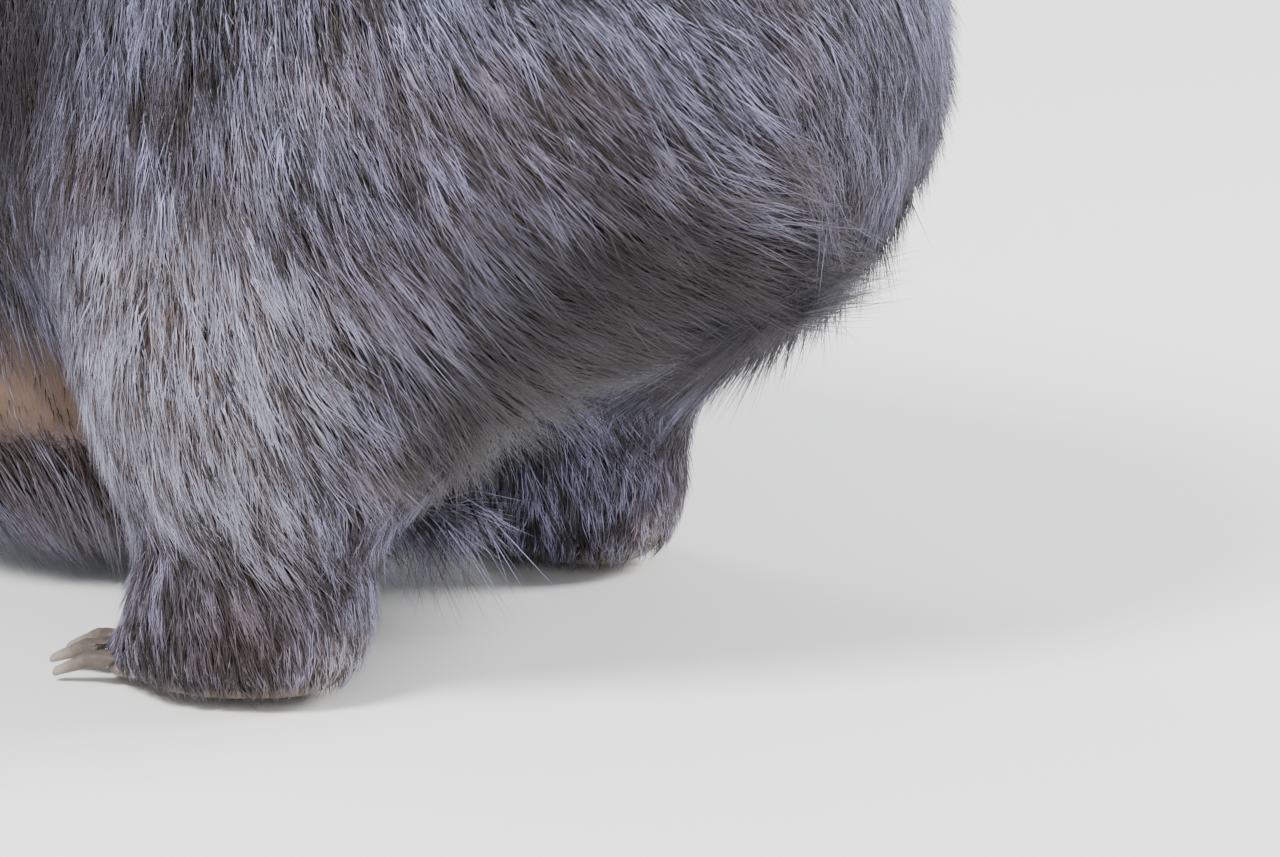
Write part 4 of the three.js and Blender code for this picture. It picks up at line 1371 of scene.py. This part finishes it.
class WOMBAT_OT_ears(bpy.types.Operator):
    """Makes the cupped ears and their short hair"""

    bl_idname = "wombat.ears"
    bl_label = "Ears"

    def execute(self, context):
        look, hair = ear_material(colours()), hair_material("wombat ear hair", colours())
        for side in SIDES:
            self.ear(side, look, hair)
        return {"FINISHED"}

    @staticmethod
    def ear(side, look, hair):
        node = f"ear_{side}"
        mesh = cast_round(f"ear_shell_{side}", [node], 1.3 * MM)
        surface = Surface(mesh)
        surface.points = surface.spread_out(surface.points, 3)
        normals = surface.normals()
        outward = OUTWARD[side]
        opening = head_way(outward * 0.55, -1, 0)
        upright = head_way(outward * 0.45, 0.16, 1)
        inner = smoothstep(-0.05, 0.6, normals @ opening)
        surface.points = surface.points - normals * mix(0.5, 0.1, inner)[:, None] * MM
        shade, warm = markings_and_painted_light(surface.points)
        put_points(mesh, surface.points)
        put_values(mesh, shade=shade - 0.1, warm=warm, inner=inner)
        clad(mesh, look)
        dress(add_object(f"ear_shell_{side}", mesh), "coat", node)
        fullness = 1.0
        density = mix(0.6, 0.22, inner) * fullness
        fields = {
            "length": mix(9.0, 7.0, inner),
            "depth": mix(1.8, 1.2, inner),
            "width": mix(0.55, 0.35, inner),
            "loose": np.full(len(inner), 0.15),
            "droop": np.zeros(len(inner)),
        }
        roots = Roots(surface, normals, density, 11, **fields)
        ways = unit(np.array(upright) - dot(roots.normals, upright) * roots.normals)
        middle = box_middle(node)

        def unwrap(points):
            off = points - middle
            return np.arctan2(off @ HEAD_ACROSS, off @ HEAD_BACK), off @ upright

        every = np.full(len(roots), "all")
        grow(f"ear_hair_{side}", roots, ways, Ground(surface), every, unwrap, hair, ((5.0, 0.5, 0.7),))


class WOMBAT_OT_nose(bpy.types.Operator):
    """Makes the bare pad of the nose with its nostrils"""

    bl_idname = "wombat.nose"
    bl_label = "Nose"

    def execute(self, context):
        mesh = cast_round("nose_pad", ["nose"], 0.9 * MM)
        surface = Surface(mesh)
        put_points(mesh, surface.spread_out(surface.points, 4))
        clad(mesh, nose_material(colours()))
        dress(add_object("nose_pad", mesh), "nose", "nose")
        return {"FINISHED"}


class WOMBAT_OT_eyes(bpy.types.Operator):
    """Makes the eyeballs and the lids round them"""

    bl_idname = "wombat.eyes"
    bl_label = "Eyes"

    def execute(self, context):
        wet, rims = eye_material(colours()), lid_material(colours())
        for side in SIDES:
            axis = eye_axis(side)
            ahead = unit(-HEAD_BACK + axis * (axis @ HEAD_BACK))
            up = np.cross(axis, ahead) * OUTWARD[side]
            up = up if up[2] > 0 else -up
            self.ball(side, axis, ahead, up, wet)
            self.lids(side, axis, ahead, up, rims)
        return {"FINISHED"}

    @staticmethod
    def ball(side, axis, ahead, up, material):
        rings, rays, offs = [], [], []
        turns = np.radians(np.arange(0, 360, 7.5))
        for tilt in np.radians(np.linspace(2, 178, 34)):
            bulge = EYE_RADIUS * (1 + 0.05 * math.exp(-((tilt / 0.55) ** 2)))
            out = np.cos(turns)[:, None] * ahead + np.sin(turns)[:, None] * up
            rings.append(EYES[side] + bulge * (math.sin(tilt) * out + math.cos(tilt) * axis))
            rays += [(math.cos(t), math.sin(t), tilt) for t in turns]
            offs += [tilt] * len(turns)
        mesh = rings_mesh(f"eyeball_{side}", rings)
        put_values(mesh, ray=np.array(rays), off_axis=np.array(offs))
        mesh.materials.append(material)
        dress(add_object(f"eyeball_{side}", mesh), "eye", f"eye_{side}")

    @staticmethod
    def lids(side, axis, ahead, up, material):
        """A ring of skin on the ball, with an almond opening whose upper lid hangs lower."""
        turns = np.radians(np.arange(0, 360, 5))
        wide = np.abs(np.cos(turns)) ** 1.6
        upper = np.sin(turns) > 0
        opening = mix(np.where(upper, 0.62, 0.72), 1.06, wide)
        profile = [
            (0.95, 0.02, 1), (1.02, 0.0, 1), (1.07, 0.02, 1), (1.12, 0.1, 0.6), (1.13, 0.2, 0.2),
            (1.1, 0.34, 0), (1.04, 0.5, 0), (0.95, 0.7, 0), (0.8, 0.8, 0), (0.8, 0.3, 0),
        ]
        rings, rims = [], []
        out = np.cos(turns)[:, None] * ahead + np.sin(turns)[:, None] * up
        for radius, over, rim in profile:
            tilt = (opening + over)[:, None]
            rings.append(EYES[side] + radius * EYE_RADIUS * (np.sin(tilt) * out + np.cos(tilt) * axis))
            rims += [rim] * len(turns)
        mesh = rings_mesh(f"lids_{side}", rings, loop=True)
        put_values(mesh, rim=np.array(rims, float))
        mesh.materials.append(material)
        dress(add_object(f"lids_{side}", mesh), "nose")


class WOMBAT_OT_claws(bpy.types.Operator):
    """Makes the eighteen claws as one piece of horn"""

    bl_idname = "wombat.claws"
    bl_label = "Claws"
    ROOT_DEPTH = 5 * MM

    def execute(self, context):
        mesh = cast_round("claws", CLAWS, 0.8 * MM)
        surface = Surface(mesh)
        points = surface.spread_out(surface.points, 3)
        middles = np.array([box_middle(name) for name in CLAWS])
        tips, roots = (np.array([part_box(name)[end].y for name in CLAWS]) for end in (0, 1))
        own = np.argmin(np.linalg.norm(surface.points[:, None] - middles[None], axis=2), axis=1)
        worn = 1 - (surface.points[:, 1] - tips[own]) / (roots[own] - tips[own])
        points[:, 1] += self.ROOT_DEPTH * smoothstep(0.22, 0.04, worn)
        put_points(mesh, points)
        put_values(mesh, worn=worn)
        clad(mesh, claw_material(colours()))
        dress(add_object("claws", mesh), "horn", *CLAWS)
        return {"FINISHED"}


class WOMBAT_OT_whiskers(bpy.types.Operator):
    """Makes the whiskers of the muzzle and the brows"""

    bl_idname = "wombat.whiskers"
    bl_label = "Whiskers"

    def execute(self, context):
        draw = np.random.default_rng(5)
        tree, longest = body().tree, settings().whisker_length
        meshes, along = [], []
        muzzle, brow = on_head(0, -0.3, -0.02), on_head(0, -0.18, 0.03)
        for side in OUTWARD.values():
            for row, k in itertools.product(range(3), range(4)):
                down = -(0.3 + 0.09 * row) * 0.6 - 0.02
                way = head_way(side * (0.75 + 0.25 * draw.random()), -0.9 + 0.1 * k, down)
                self.whisker(meshes, along, tree, muzzle, way, side, longest * draw.uniform(0.55, 1))
            for k in range(3):
                way = head_way(side * 0.62, -0.3 - 0.12 * k, 0.7)
                self.whisker(meshes, along, tree, brow, way, side, longest * draw.uniform(0.45, 0.7))
        mesh = join_meshes("whiskers", meshes)
        put_values(mesh, along=np.concatenate(along))
        clad(mesh, whisker_material(colours()))
        dress(add_object("whiskers", mesh), "coat")
        return {"FINISHED"}

    @staticmethod
    def whisker(meshes, along, tree, start, way, side, length):
        hit, normal, *_ = tree.ray_cast(Vector(start), Vector(way))
        if hit is None:
            raise RuntimeError("A whisker misses the muzzle.")
        root = np.array(hit - normal * 0.6 * MM)
        out = unit(np.array(normal) * 0.8 + head_way(side * 0.5, 0.35, -0.12))
        back = head_way(side * 0.1, 1, -0.35)
        across = unit(np.cross(out, back))
        rings = []
        steps = np.linspace(0, 1, 9)
        for t in steps:
            middle = root + out * length * t + back * length * 0.32 * t * t
            radius = mix(0.32, 0.05, t) * MM
            turns = np.radians([0, 90, 180, 270])
            thick = np.cross(across, out)
            rings.append(middle + radius * (np.cos(turns)[:, None] * across + np.sin(turns)[:, None] * thick))
        meshes.append(rings_mesh("whisker", rings))
        along.append(np.repeat(steps, 4))


OPERATORS = (
    WOMBAT_OT_stage,
    WOMBAT_OT_skin,
    WOMBAT_OT_coat,
    WOMBAT_OT_ears,
    WOMBAT_OT_nose,
    WOMBAT_OT_eyes,
    WOMBAT_OT_claws,
    WOMBAT_OT_whiskers,
)


class WOMBAT_PT_panel(bpy.types.Panel):
    """Lists the pieces of the wombat and their settings"""

    bl_label = "Wombat"
    bl_idname = "WOMBAT_PT_panel"
    bl_space_type = "VIEW_3D"
    bl_region_type = "UI"
    bl_category = "Wombat"

    def draw(self, context):
        for group in (context.scene.wombat, context.scene.wombat_colours):
            for name in group.bl_rna.properties.keys():
                if name not in ("name", "rna_type"):
                    self.layout.prop(group, name)
        for operator in OPERATORS:
            self.layout.operator(operator.bl_idname)


CLASSES = (WombatSettings, WombatColours, *OPERATORS, WOMBAT_PT_panel)


def register():
    for cls in CLASSES:
        bpy.utils.register_class(cls)
    bpy.types.Scene.wombat = bpy.props.PointerProperty(type=WombatSettings)
    bpy.types.Scene.wombat_colours = bpy.props.PointerProperty(type=WombatColours)


def unregister():
    del bpy.types.Scene.wombat_colours
    del bpy.types.Scene.wombat
    for cls in reversed(CLASSES):
        bpy.utils.unregister_class(cls)


def main():
    register()
    for operator in OPERATORS:
        group, name = operator.bl_idname.split(".")
        getattr(getattr(bpy.ops, group), name)()


if __name__ == "__main__":
    main()
